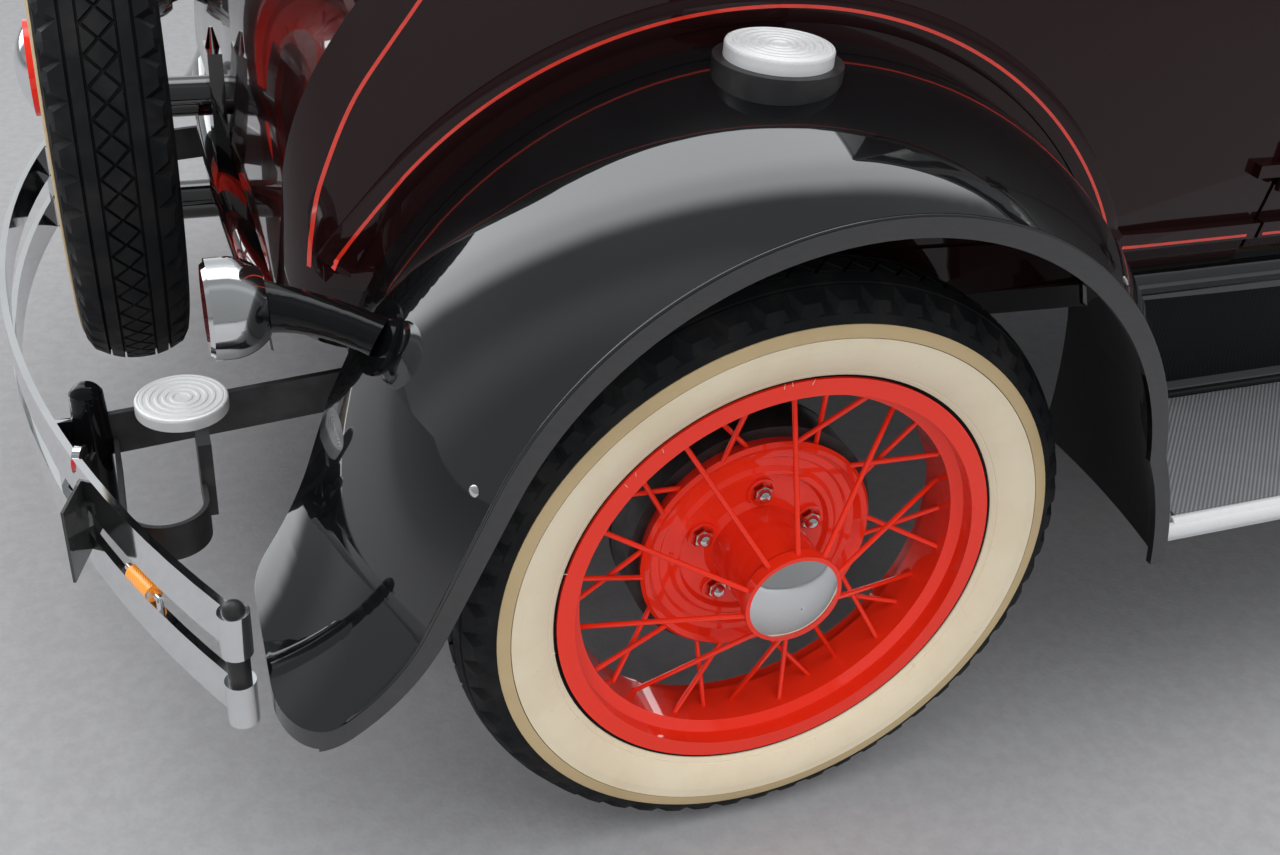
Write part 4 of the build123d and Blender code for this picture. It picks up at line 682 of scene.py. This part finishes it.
def shoulder(shell, sign, side):
    """Shoulder band with a sunk four-sided notch at each pitch."""
    pitch = math.tau / NOTCH_PITCHES
    inner_v = 0.036
    edge_v, edge_r = SHOULDER
    low_s, low_r = [p for p in side if p[1] < NOTCH_FOOT_R][-1]
    half = pitch * 0.27

    def at(angle, s, r):
        return Vector((r * math.cos(angle), s * sign, r * math.sin(angle)))

    top_r = crown(inner_v)
    foot_r = top_r - GROOVE - 0.001
    for i in range(NOTCH_PITCHES):
        a = i * pitch
        left, right = a - pitch / 2, a + pitch / 2
        points = [
            at(left, inner_v, foot_r), at(right, inner_v, foot_r), at(a, inner_v, foot_r),
            at(left, inner_v, top_r), at(a, inner_v, top_r), at(right, inner_v, top_r),
            at(left, edge_v, edge_r), at(a - half, edge_v, edge_r),
            at(a + half, edge_v, edge_r), at(right, edge_v, edge_r),
            at(a, edge_v - 0.003, edge_r - 0.0085),
            at(left, low_s, low_r), at(a, low_s - 0.0002, low_r + 0.001), at(right, low_s, low_r),
            at(left, *FLANK), at(right, *FLANK),
        ]
        faces = [(0, 2, 4, 3), (2, 1, 5, 4), (3, 4, 7, 6), (4, 5, 9, 8), (4, 8, 10), (4, 10, 7),
                 (7, 10, 12), (10, 8, 12), (6, 7, 12, 14), (14, 12, 11), (8, 9, 15, 12), (15, 13, 12)]
        shell.add(points, faces)


def white_ring(shell):
    """Raised cream ring on the outer side, with a moulded rib and an aged outer edge."""
    side = arc_points(BEAD, WIDEST, SHOULDER, 110)
    for low_r, high_r, mark in RING_PARTS:
        skin = [(s, r) for s, r in side if low_r < r < high_r]
        proud = []
        for s, r in skin:
            lift = 0.0016
            if mark == 2:
                lift = 0.0012 if r > RIB_R[1] else 0.0021
            if RING_LINE[0] < r < RING_LINE[1]:
                lift = 0.001
            proud.append((min(s + lift, TYRE_HALF), r))
        base = [(s - 0.002, r) for s, r in (skin[-1], skin[len(skin) // 2], skin[0])]
        shell.ring(proud + base, TYRE_SIDES, mark)


def whiskers(shell, rng):
    """Moulding hairs left standing on the cream ring."""
    for _ in range(WHISKERS):
        a = rng.uniform(0, math.tau)
        r = rng.choice(WHISKER_RADII) + rng.uniform(-0.003, 0.003)
        length = rng.uniform(0.004, 0.007)
        lean = rng.uniform(-0.6, 0.6)
        base = Vector((r * math.cos(a), WIDEST[0] - 0.0015, r * math.sin(a)))
        out = Vector((math.cos(a + lean) * 0.9, 0.0, math.sin(a + lean) * 0.9))
        side = Vector((-math.sin(a), 0, math.cos(a))) * 0.0004
        up = Vector((0, 0.0004, 0))
        tip = base + out.normalized() * length
        points = [base - side, base + side, base + up, tip - side * 0.4, tip + side * 0.4, tip + up * 0.4]
        shell.add(points, [(0, 1, 4, 3), (1, 2, 5, 4), (2, 0, 3, 5), (3, 4, 5), (0, 2, 1)], 1)


def add_tyres():
    for station, body, centre, turn in wheel_places():
        shell = tyre_mesh()
        white_ring(shell)
        whiskers(shell, random.Random(station))
        place = Matrix.Translation(centre) @ Matrix.Rotation(turn, 4, "Z")
        node = wheel_node("tyre", station)
        obj = add_mesh(f"road_{node}", [place @ v for v in shell.verts], shell.faces,
                       ("rubber", "white", "ochre"), body, "tyre_rubber", smooth=False, sharp=28)
        for face, mark in zip(obj.data.polygons, shell.marks):
            face.material_index = mark
        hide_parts(node)


# Painted lines on the body

class Skin:
    """The outside of some CAD nodes, to lay thin pieces on."""

    def __init__(self, nodes):
        verts, faces = [], []
        for node in nodes:
            mesh = NODES[node].data
            base = len(verts)
            verts += [v.co.copy() for v in mesh.vertices]
            faces += [tuple(base + i for i in face.vertices) for face in mesh.polygons]
        self.tree = BVHTree.FromPolygons(verts, faces)

    def touch(self, start, way):
        """First point and outward normal met from start."""
        spot, normal = self.tree.ray_cast(Vector(start), Vector(way))[:2]
        if spot is None:
            return None
        return spot, -normal if normal.dot(Vector(way)) > 0 else normal


STRIPE_DEPTH = 0.001


def side_stripe(name, line, width, side, nodes, body, lift=0.0005):
    """Thin red strip along (x, z) points, laid on the body's side."""
    skin = Skin(nodes)
    verts = []
    for i, (x, z) in enumerate(line):
        x0, z0 = line[max(i - 1, 0)]
        x1, z1 = line[min(i + 1, len(line) - 1)]
        along = Vector((x1 - x0, z1 - z0)).normalized()
        off = Vector((-along.y, along.x)) * width / 2
        ends = [skin.touch((x + off.x * sign, side, z + off.y * sign), (0, -side, 0)) for sign in (-1, 1)]
        if all(ends):
            verts += [spot + normal * lift for spot, normal in ends]
            verts += [spot + normal * (lift - STRIPE_DEPTH) for spot, normal in reversed(ends)]
    add_mesh(name, verts, loft_faces(len(verts) // 4, 4), "line", body, smooth=False)


FENDER_MIDDLE = (-1.191, 0.445)
FENDER_LINE_R = 0.492
TAIL_LINE = ((-1.651, 0.66), (-1.647, 0.70), (-1.636, 0.759), (-1.605, 0.845), (-1.558, 0.918), (-1.515, 0.975),
             (-1.44, 1.045), (-1.33, 1.115), (-1.18, 1.17), (-1.0, 1.2), (-0.9, 1.205), (-0.54, 1.205))
SILL_STRIPE_Z = 0.652
ARCH_START, ARCH_SPAN = 153, 127
ARCH_STEPS = 130
# off the red line's radius, and out from the body's side
ARCH_SECTION = ((-0.017, -0.001), (-0.0155, 0.0022), (-0.009, 0.0038), (0.009, 0.0038), (0.0155, 0.0022),
                (0.017, -0.001))


def arch_point(share, off=0.0):
    """(x, z) at a share of the arch over the rear fender."""
    turn = math.radians(ARCH_START - ARCH_SPAN * share)
    r = FENDER_LINE_R + off
    return FENDER_MIDDLE[0] + r * math.cos(turn), FENDER_MIDDLE[1] + r * math.sin(turn)


def arch_band(word, side, nodes):
    """Raised half-round moulding on the body over the fender, under the red line."""
    skin = Skin(nodes)
    verts = []
    for i in range(ARCH_STEPS):
        ring = []
        for off, lift in ARCH_SECTION:
            x, z = arch_point(i / (ARCH_STEPS - 1), off)
            hit = skin.touch((x, side, z), (0, -side, 0))
            if hit:
                ring.append(hit[0] + hit[1] * lift)
        if len(ring) == len(ARCH_SECTION):
            verts += ring
    n = len(ARCH_SECTION)
    add_mesh(f"arch_moulding_{word}", verts, loft_faces(len(verts) // n, n), "body", sharp=40)


def add_stripes():
    """Red coach lines on both sides, and the red face of the sill moulding."""
    arch = [arch_point(i / 99) for i in range(100)]
    for word, side in SIDES.items():
        quarter = (f"quarter_panel_{word}",)
        arch_band(word, side, quarter)
        side_stripe(f"arch_line_{word}", arch, 0.0034, side, quarter, "chassis", 0.0043)
        side_stripe(f"tail_line_{word}", bent(TAIL_LINE, 12), 0.0035, side, quarter, "chassis")
        rows = (("rear", -0.73, -0.545, quarter, "chassis"),
                ("door", -0.52, 0.22, (f"door_{word}",), f"door_{word}_body"),
                ("front", 0.232, 0.555, ("cowl",), "chassis"))
        for row, start, end, nodes, body in rows:
            line = [(start + (end - start) * i / 60, SILL_STRIPE_Z) for i in range(61)]
            side_stripe(f"sill_line_{row}_{word}", line, 0.0038, side, nodes, body)


def long_trim(name, section, start, end, side, material, slot="fender_paint"):
    """Straight bar along X from a closed (y, z) section, on one side."""
    verts = [Vector((x, y * side, z)) for x in (start, end) for y, z in section]
    add_mesh(name, verts, loft_faces(2, len(section)), material, slot=slot, sharp=40)


SILL_FLANGE = ((0.594, 0.613), (0.604, 0.6125), (0.613, 0.609), (0.619, 0.602), (0.620, 0.592), (0.614, 0.580),
               (0.600, 0.570), (0.590, 0.566), (0.586, 0.560), (0.582, 0.560), (0.582, 0.575), (0.594, 0.585))
APRON_FOOT = ((0.5745, 0.4185), (0.578, 0.412), (0.584, 0.4075), (0.592, 0.4055), (0.592, 0.4), (0.572, 0.4),
              (0.572, 0.4185))
BOARD_MAT = ((0.593, 0.4), (0.593, 0.4032), (0.5945, 0.404), (0.8155, 0.404), (0.817, 0.4032), (0.817, 0.4))
BOARD_STRIP = ((0.817, 0.4), (0.817, 0.4036), (0.8195, 0.4046), (0.8235, 0.4036), (0.828, 0.399),
               (0.824, 0.396))
BOARD_ENDS = (-0.72, 0.80)


def add_aprons():
    """Rolled flange under the sill, a coved foot on the board, and the dimpled mat."""
    start, end = BOARD_ENDS
    for word, side in SIDES.items():
        long_trim(f"sill_flange_{word}", SILL_FLANGE, start, 0.55, side, "black")
        long_trim(f"apron_foot_{word}", APRON_FOOT, start, end, side, "black")
        long_trim(f"board_mat_{word}", BOARD_MAT, start - 0.004, end - 0.004, side, "mat", "board_mat")
        long_trim(f"board_strip_{word}", BOARD_STRIP, start - 0.012, end, side, "alu", "step_aluminium")


VALANCE_HALF = 0.43
VALANCE_BOW = 0.018
VALANCE_ROWS = ((-1.655, 0.598), (-1.662, 0.592), (-1.676, 0.586), (-1.692, 0.577), (-1.703, 0.564),
                (-1.708, 0.548), (-1.706, 0.530))


def add_valance():
    """Rolled splash pan under the tail, between the frame ends."""
    verts = []
    count = 24
    for i in range(count + 1):
        y = VALANCE_HALF * (2 * i / count - 1)
        shift = VALANCE_BOW * (abs(y) / VALANCE_HALF) ** 2
        verts += [Vector((x + shift, y, z)) for x, z in VALANCE_ROWS]
        verts += [Vector((x + shift + 0.003, y, z - 0.002)) for x, z in reversed(VALANCE_ROWS)]
    faces = loft_faces(count + 1, 2 * len(VALANCE_ROWS))
    add_mesh("tail_valance", verts, faces, "black", slot="fender_paint", sharp=40)


def tube(name, line, radius, material, slot, body="chassis", closed=False, sides=8):
    """Round bar along a line of points."""
    verts = []
    count = len(line)
    for i, spot in enumerate(line):
        before = line[i - 1] if i or closed else spot
        after = line[(i + 1) % count] if i + 1 < count or closed else spot
        along = (after - before).normalized()
        across = along.cross(Vector((0.31, 0.17, 0.94))).normalized()
        over = across.cross(along)
        for turn in turns(sides):
            verts.append(spot + (across * math.cos(turn) + over * math.sin(turn)) * radius)
    add_mesh(name, verts, loft_faces(count, sides, closed), material, body, slot)


# Cushions

CLOTH_FRAMES = 20
PAD_INSET = 0.009
PAD_SWELL = 0.016
PAD_VOXEL = 0.012
PLEAT_PITCH = 0.088
PLEAT_DEPTH = 0.009
PLEAT_WIDTH = 0.009
PLAIN_END = 0.05
PAD_CROWN = 0.006
# node, body, slot, finish, and the way that its sewn face looks
PADS = (
    ("bench_cushion", "chassis", "seat_trim", "cloth", (0, 0, 1)),
    ("bench_back", "chassis", "seat_trim", "cloth", (1, 0, 0.17)),
    ("rumble_cushion", "chassis", "rumble_trim", "hide", (0, 0, 1)),
    ("rumble_back", "rumble_lid_body", "rumble_trim", "hide", (0.5, 0, -0.85)),
)


def settle(obj):
    """Puts the result of an object's modifiers into its own mesh."""
    mesh = bpy.data.meshes.new_from_object(obj.evaluated_get(bpy.context.evaluated_depsgraph_get()))
    obj.modifiers.clear()
    old = obj.data
    obj.data = mesh
    bpy.data.meshes.remove(old)
    return mesh


def even_piece(name, mesh, voxel, finish):
    """Object with the mesh's form in an even net."""
    obj = put(name, mesh)
    even = obj.modifiers.new("Even", "REMESH")
    even.mode = "VOXEL"
    even.voxel_size = voxel
    mesh = settle(obj)
    mesh.materials.clear()
    mesh.materials.append(MATS[finish])
    return obj


def start_pad(node, finish):
    """Slightly smaller copy of the CAD pad in an even mesh."""
    low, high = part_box(node)
    middle, size = (low + high) / 2, high - low
    mesh = NODES[node].data.copy()
    for v in mesh.vertices:
        for axis in range(3):
            v.co[axis] = middle[axis] + (v.co[axis] - middle[axis]) * (1 - 2 * PAD_INSET / size[axis])
    return even_piece(f"{node}_pad", mesh, PAD_VOXEL, finish)


def swell(pads):
    """Blows the pads up as cloth, for a moment, with a limit on how far a point moves."""
    starts = [[v.co.copy() for v in obj.data.vertices] for obj in pads]
    for obj in pads:
        cloth = obj.modifiers.new("Cloth", "CLOTH")
        cloth.settings.use_pressure = True
        cloth.settings.uniform_pressure_force = 4
        cloth.settings.effector_weights.gravity = 0
        cloth.point_cache.frame_start = 1
        cloth.point_cache.frame_end = CLOTH_FRAMES
    for moment in range(1, CLOTH_FRAMES + 1):
        bpy.context.scene.frame_set(moment)
    for obj in pads:
        settle(obj)
    bpy.context.scene.frame_set(1)
    for obj, start in zip(pads, starts):
        for v, spot in zip(obj.data.vertices, start):
            move = v.co - spot
            if move.length > PAD_SWELL:
                v.co = spot + move.normalized() * PAD_SWELL


def sew(obj, node, face):
    """Pleats across the sewn face, kept inside the CAD pad's space but for a low crown."""
    obj.modifiers.new("Round", "SUBSURF").levels = 1
    mesh = settle(obj)
    low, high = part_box(node)
    face = Vector(face).normalized()
    half = (high.y - low.y) / 2
    normals = [v.normal.copy() for v in mesh.vertices]
    for v, normal in zip(mesh.vertices, normals):
        toward = max(0.0, min(1.0, (normal.dot(face) - 0.2) * 2))
        off = (v.co.y + PLEAT_PITCH / 2) % PLEAT_PITCH - PLEAT_PITCH / 2
        if abs(v.co.y) < half - PLAIN_END:
            v.co -= normal * PLEAT_DEPTH * toward * math.exp(-(off / PLEAT_WIDTH) ** 2)
        v.co.y = max(low.y, min(high.y, v.co.y))
        v.co.x = max(low.x, min(high.x, v.co.x))
        v.co.z = max(low.z, min(high.z + PAD_CROWN, v.co.z))
    mesh.shade_smooth()


PIPING_R = 0.004
PIPING_INSET = 0.022
PIPING_POINTS = 160
PIPING_SQUARE = 0.16  # power of the outline, which rounds its corners


def piping(obj, node, body, slot, finish, face):
    """Round cord sewn along the edge of the pad's sewn face."""
    low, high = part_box(node)
    spots = [v.co.copy() for v in obj.data.vertices]
    tree = BVHTree.FromPolygons(spots, [tuple(f.vertices) for f in obj.data.polygons])
    middle = (low + high) / 2
    face = Vector(face).normalized()
    wide = Vector((0, 1, 0))
    tall = face.cross(wide)
    corners = [Vector((x - middle.x, 0, z - middle.z)) for x in (low.x, high.x) for z in (low.z, high.z)]
    reach = (high.y - low.y) / 2 - PIPING_INSET
    height = min(max(abs(c.dot(tall)) for c in corners),
                 max(abs(spot.dot(tall) - middle.dot(tall)) for spot in spots)) - PIPING_INSET
    line = []
    for turn in turns(PIPING_POINTS):
        c, s = math.cos(turn), math.sin(turn)
        a = math.copysign(abs(c) ** PIPING_SQUARE, c) * reach
        b = math.copysign(abs(s) ** PIPING_SQUARE, s) * height
        spot = tree.ray_cast(middle + wide * a + tall * b + face * 0.6, -face)[0]
        if spot is not None:
            line.append(spot + face * 0.0015)
    tube(f"{node}_piping", line, PIPING_R, finish, slot, body, closed=True)


def add_cushions():
    pads = [start_pad(node, finish) for node, body, slot, finish, face in PADS]
    swell(pads)
    for obj, (node, body, slot, finish, face) in zip(pads, PADS):
        sew(obj, node, face)
        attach(obj, body)
        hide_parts(node)
        piping(obj, node, body, slot, finish, face)


# Roof covering

ROOF_VOXEL = 0.007
ROOF_SOFT = 260
HIP_FOOT = 0.045
HIP_FADE = 0.05


def add_roof():
    """Padded roof in the CAD roof's place, with the hips rounded under its cloth."""
    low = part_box("roof")[0]
    obj = even_piece("roof_cloth", NODES["roof"].data.copy(), ROOF_VOXEL, "roof")
    top = obj.vertex_groups.new(name="Top")
    for v in obj.data.vertices:
        share = (v.co.z - low.z - HIP_FOOT) / HIP_FADE
        if share > 0 and v.normal.z > 0:
            top.add([v.index], min(share, 1.0), "REPLACE")
    soft = obj.modifiers.new("Soft", "SMOOTH")
    soft.vertex_group = "Top"
    soft.iterations = ROOF_SOFT
    settle(obj).shade_smooth()
    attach(obj, "chassis")
    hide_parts("roof")


# Controls

def ball(name, middle, radius, material, slot):
    profile = [(-radius * math.cos(math.pi * i / 12), radius * math.sin(math.pi * i / 12)) for i in range(13)]
    verts, faces = lathe(profile, 24, close=False)
    add_mesh(name, [v + Vector(middle) for v in verts], faces, material, slot=slot)


def pad_box(name, middle, size, turn, material, slot):
    """Small block turned about Y."""
    spin = Matrix.Rotation(turn, 3, "Y")
    verts = [Vector(middle) + spin @ Vector((a * size[0] / 2, b * size[1] / 2, c * size[2] / 2))
             for a in (-1, 1) for b in (-1, 1) for c in (-1, 1)]
    faces = [(0, 1, 3, 2), (4, 6, 7, 5), (0, 4, 5, 1), (2, 3, 7, 6), (0, 2, 6, 4), (1, 5, 7, 3)]
    add_mesh(name, verts, faces, material, slot=slot, smooth=False)


FOOT_Z = 0.595
BRAKE_Y = -0.07
# radius and points of each lever
LEVERS = {
    "gear_lever": (0.008, ((0.30, 0, FOOT_Z), (0.29, 0, 0.70), (0.21, 0, 0.82), (0.15, 0, 0.93))),
    "hand_brake": (0.009, ((0.36, BRAKE_Y, FOOT_Z), (0.34, BRAKE_Y, 0.70), (0.27, BRAKE_Y, 0.86))),
}
PEDAL_SIZE = (0.012, 0.055, 0.075)
# x and y of each pedal
PEDALS = {"clutch": (0.455, 0.40), "brake": (0.455, 0.27), "throttle": (0.46, 0.17)}


def add_controls():
    """Gear lever, hand brake and pedals."""
    rods = dict(LEVERS)
    for name, (x, y) in PEDALS.items():
        rods[f"{name}_arm"] = (0.007, ((x + 0.03, y, FOOT_Z), (x + 0.01, y, 0.66), (x - 0.02, y, 0.70)))
        pad_box(f"{name}_pad", (x - 0.026, y, 0.712), PEDAL_SIZE, math.radians(-40), "rubber", "board_mat")
    for name, (radius, points) in rods.items():
        tube(name, bent(points, 8), radius, "satin", "column_paint")
    ball("gear_knob", (0.146, 0, 0.94), 0.022, "black", "column_paint")
    ball("hand_brake_knob", (0.266, BRAKE_Y, 0.868), 0.015, "chrome", "bright_plate")


PANEL_Z = 1.13
PANEL_HALF = (0.15, 0.062)
PANEL_DEPTH = 0.006
# y and radius of each dial
DIALS = ((0.0, 0.034), (0.075, 0.026), (-0.075, 0.026))


def turned(x, y, z, wide, tall, sides):
    """Ring of points that faces along X."""
    return [Vector((x, y + wide * math.cos(turn), z + tall * math.sin(turn))) for turn in turns(sides)]


def add_instruments():
    """Oval plate with three dials on the dash."""
    hit = Skin(("cowl",)).touch((-0.1, 0, PANEL_Z), (1, 0, 0))
    face = hit[0].x
    front = face - PANEL_DEPTH
    verts = turned(face + 0.001, 0, PANEL_Z, *PANEL_HALF, 48) + turned(front, 0, PANEL_Z, *PANEL_HALF, 48)
    add_mesh("instrument_plate", verts, loft_faces(2, 48), "chrome", slot="bright_plate", sharp=40)
    for k, (y, r) in enumerate(DIALS):
        verts = []
        for s, q in ((0.0, r), (0.006, r), (0.006, r - 0.004), (0.003, r - 0.006)):
            verts += turned(front - s, y, PANEL_Z, q, q, 40)
        faces = loft_faces(4, 40)
        dial = add_mesh(f"dial_{k + 1}", verts, faces, ("chrome", "iron"), slot="bright_plate", sharp=30)
        dial.data.polygons[-1].material_index = 1


FENDER_EDGE_Y = 0.851
BEAD_R = 0.0022
CREASE_STEPS = 180
CREASE_START, CREASE_SPAN = -8, 196
# wheel's middle (x, z), and the turns in degrees at which the bolts stand, of each pair of fenders
FENDER_BOLTS = {"rear": ((-1.191, 0.44), (158, 46)), "front": ((1.444, 0.40), (150, 40))}


def fender_crease(skin, side, x0, z0):
    """Points along the crease where a fender's crown turns down into its lip."""
    line = []
    for i in range(CREASE_STEPS + 1):
        angle = math.radians(CREASE_START + CREASE_SPAN * i / CREASE_STEPS)
        way = Vector((math.cos(angle), 0, math.sin(angle)))
        start = Vector((x0, side * (FENDER_EDGE_Y - 0.0006), z0)) + way * 0.62
        hit = skin.touch(start, -way)
        if hit and (hit[0] - start).length < 0.35:
            line.append(hit[0])
    return line


def longest_run(line, reach):
    """The longest stretch of a line with no gap over reach."""
    runs = [[line[0]]]
    for spot in line[1:]:
        if (spot - runs[-1][-1]).length > reach:
            runs.append([])
        runs[-1].append(spot)
    return max(runs, key=len)


def add_fender_trim():
    """Bead along each fender's crease, and the round bolts under it."""
    for word, side in SIDES.items():
        for end in ("rear", "front"):
            skin = Skin((f"{end}_fender_{word}",))
            (x0, z0), bolts = FENDER_BOLTS[end]
            line = longest_run(fender_crease(skin, side, x0, z0), 0.05)
            sunk = [spot - Vector((0, side * BEAD_R, 0)) for spot in line]
            tube(f"{end}_fender_bead_{word}", sunk, BEAD_R, "black", "fender_paint")
            for k, angle in enumerate(bolts):
                spot = min(line, key=lambda p: abs(math.degrees(math.atan2(p.z - z0, p.x - x0)) % 360 - angle))
                outward = Vector((spot.x - x0, 0, spot.z - z0)).normalized()
                middle, way = skin.touch(spot + outward * 0.012 + Vector((0, side * 0.1, 0)), (0, -side, 0))
                button(f"{end}_fender_bolt_{word}_{k + 1}", middle, way, 0.006, 0.002)


def button(name, middle, way, radius, height):
    """Low domed head."""
    across = way.orthogonal().normalized()
    over = way.cross(across)
    verts, rings, sides = [], 5, 16
    for k in range(rings):
        share = k / (rings - 1) * math.pi / 2
        r, h = radius * math.cos(share), height * math.sin(share)
        if k == rings - 1:
            r = radius * 0.08
        for turn in turns(sides):
            verts.append(middle + way * h + (across * math.cos(turn) + over * math.sin(turn)) * r)
    add_mesh(name, verts, loft_faces(rings, sides), "chrome", slot="bright_plate")


def add_camera():
    """Camera fitted to the photograph's view."""
    azimuth, elevation, roll = (math.radians(a) for a in (-23.4, 32.7, 5.3))
    place = Vector((-1822.2, -1772.3, 1298.7)) * MM
    focal_px = 1367.3
    image_width = 1280
    back = Vector((math.sin(azimuth) * math.cos(elevation), -math.cos(azimuth) * math.cos(elevation),
                   math.sin(elevation)))
    level = (-back).cross(Vector((0, 0, 1))).normalized()
    upright = level.cross(-back)
    right = math.cos(roll) * level + math.sin(roll) * upright
    up = -math.sin(roll) * level + math.cos(roll) * upright
    data = bpy.data.cameras.new("PhotoCamera")
    data.sensor_width = 36
    data.lens = focal_px / image_width * data.sensor_width
    data.clip_start = 0.05
    camera = put("PhotoCamera", data)
    turn = Matrix((right, up, back)).transposed()
    camera.matrix_world = Matrix.Translation(place) @ turn.to_4x4()
    bpy.context.scene.camera = camera


def area_light(name, place, target, width, height, power):
    """Soft lamp that doesn't show as a square in gloss and plating."""
    data = bpy.data.lights.new(name, "AREA")
    data.shape = "RECTANGLE"
    data.size = width
    data.size_y = height
    data.energy = power
    light = put(name, data)
    light.location = place
    aim = Vector(target) - Vector(place)
    light.rotation_euler = aim.to_track_quat("-Z", "Y").to_euler()
    light.visible_glossy = False


LIGHT_GREY = (0.36, 0.366, 0.375, 1)
SEEN_GREY = (0.62, 0.63, 0.65, 1)
# the patch's middle, and (place, level) from the opposite way round to it
SKY_AXIS = (0.15, 0.9, 0.41)
SKY_STEPS = ((0.0, 0.25), (0.5, 0.3), (0.6, 0.45), (0.68, 0.3), (0.74, 0.3), (0.79, 2.4),
             (0.84, 3.1), (0.9, 3.0), (0.96, 0.9), (1.0, 0.6))


def make_world():
    """Even pale light; gloss and plating see a soft bright patch of sky over the far side."""
    world = bpy.data.worlds.new("Studio")
    bpy.context.scene.world = world
    world.use_nodes = True
    nodes = world.node_tree.nodes
    link = world.node_tree.links.new

    def new(kind):
        return nodes.new(f"ShaderNode{kind}")

    rays = new("LightPath").outputs
    way = new("VectorMath")
    way.operation = "DOT_PRODUCT"
    way.inputs[1].default_value = SKY_AXIS
    link(new("TexCoord").outputs["Generated"], way.inputs[0])
    height = set_inputs(new("MapRange"), From_Min=-1.0, From_Max=1.0)
    link(way.outputs["Value"], height.inputs["Value"])
    sky = new("ValToRGB")
    link(height.outputs["Result"], sky.inputs["Fac"])
    ramp = sky.color_ramp
    ramp.interpolation = "EASE"
    for spot, _ in SKY_STEPS[1:-1]:
        ramp.elements.new(spot)
    for element, (spot, level) in zip(ramp.elements, SKY_STEPS):
        element.position = spot
        element.color = (level * 0.97, level, level * 1.02, 1)
    seen = new("Math")
    seen.operation = "MAXIMUM"
    link(rays["Is Camera Ray"], seen.inputs[0])
    link(rays["Is Transmission Ray"], seen.inputs[1])
    plain, mixed = new("Mix"), new("Mix")
    plain.data_type = mixed.data_type = "RGBA"
    set_inputs(plain, A=LIGHT_GREY, B=SEEN_GREY)
    link(seen.outputs["Value"], plain.inputs["Factor"])
    link(rays["Is Glossy Ray"], mixed.inputs["Factor"])
    link(plain.outputs["Result"], mixed.inputs["A"])
    link(sky.outputs["Color"], mixed.inputs["B"])
    link(mixed.outputs["Result"], nodes["Background"].inputs["Color"])


# place, target, width, height and watts
LAMPS = {
    "Sky": ((-1.5, -1.0, 6.0), (-0.5, 0, 0), 9.0, 6.0, 520),
    "Side": ((-3.0, -5.5, 2.6), (-0.5, 0, 0.5), 3.0, 3.0, 120),
    "Rear": ((-6.0, 1.5, 2.8), (-0.5, 0, 0.6), 3.0, 3.0, 80),
    "Front": ((6.0, -1.0, 3.0), (0.5, 0, 0.6), 3.0, 3.0, 100),
}


def add_studio():
    """Pale floor, pale world and soft lamps."""
    make_world()
    floor = bpy.data.meshes.new("Floor")
    far = 14
    floor.from_pydata([(-far, -far, 0), (far, -far, 0), (far, far, 0), (-far, far, 0)], [], [(0, 1, 2, 3)])
    stage = put("Floor", floor)
    finish = Finish("StudioFloor", (0.34, 0.34, 0.35), 0.75, Specular_IOR_Level=0.2)
    finish.mottle((0.31, 0.31, 0.32), 40, 6, 0.4, 0.6, 1, 0.7).grain(160, 5, 0.25, 0.002)
    floor.materials.append(finish.material)
    for name, lamp in LAMPS.items():
        area_light(name, *lamp)


dress_frame()
add_tyres()
add_step_rings()
add_stripes()
add_aprons()
add_valance()
add_fender_trim()
add_roof()
add_cushions()
add_controls()
add_instruments()
add_camera()
add_studio()
scene = bpy.context.scene
scene.view_settings.view_transform = "Standard"
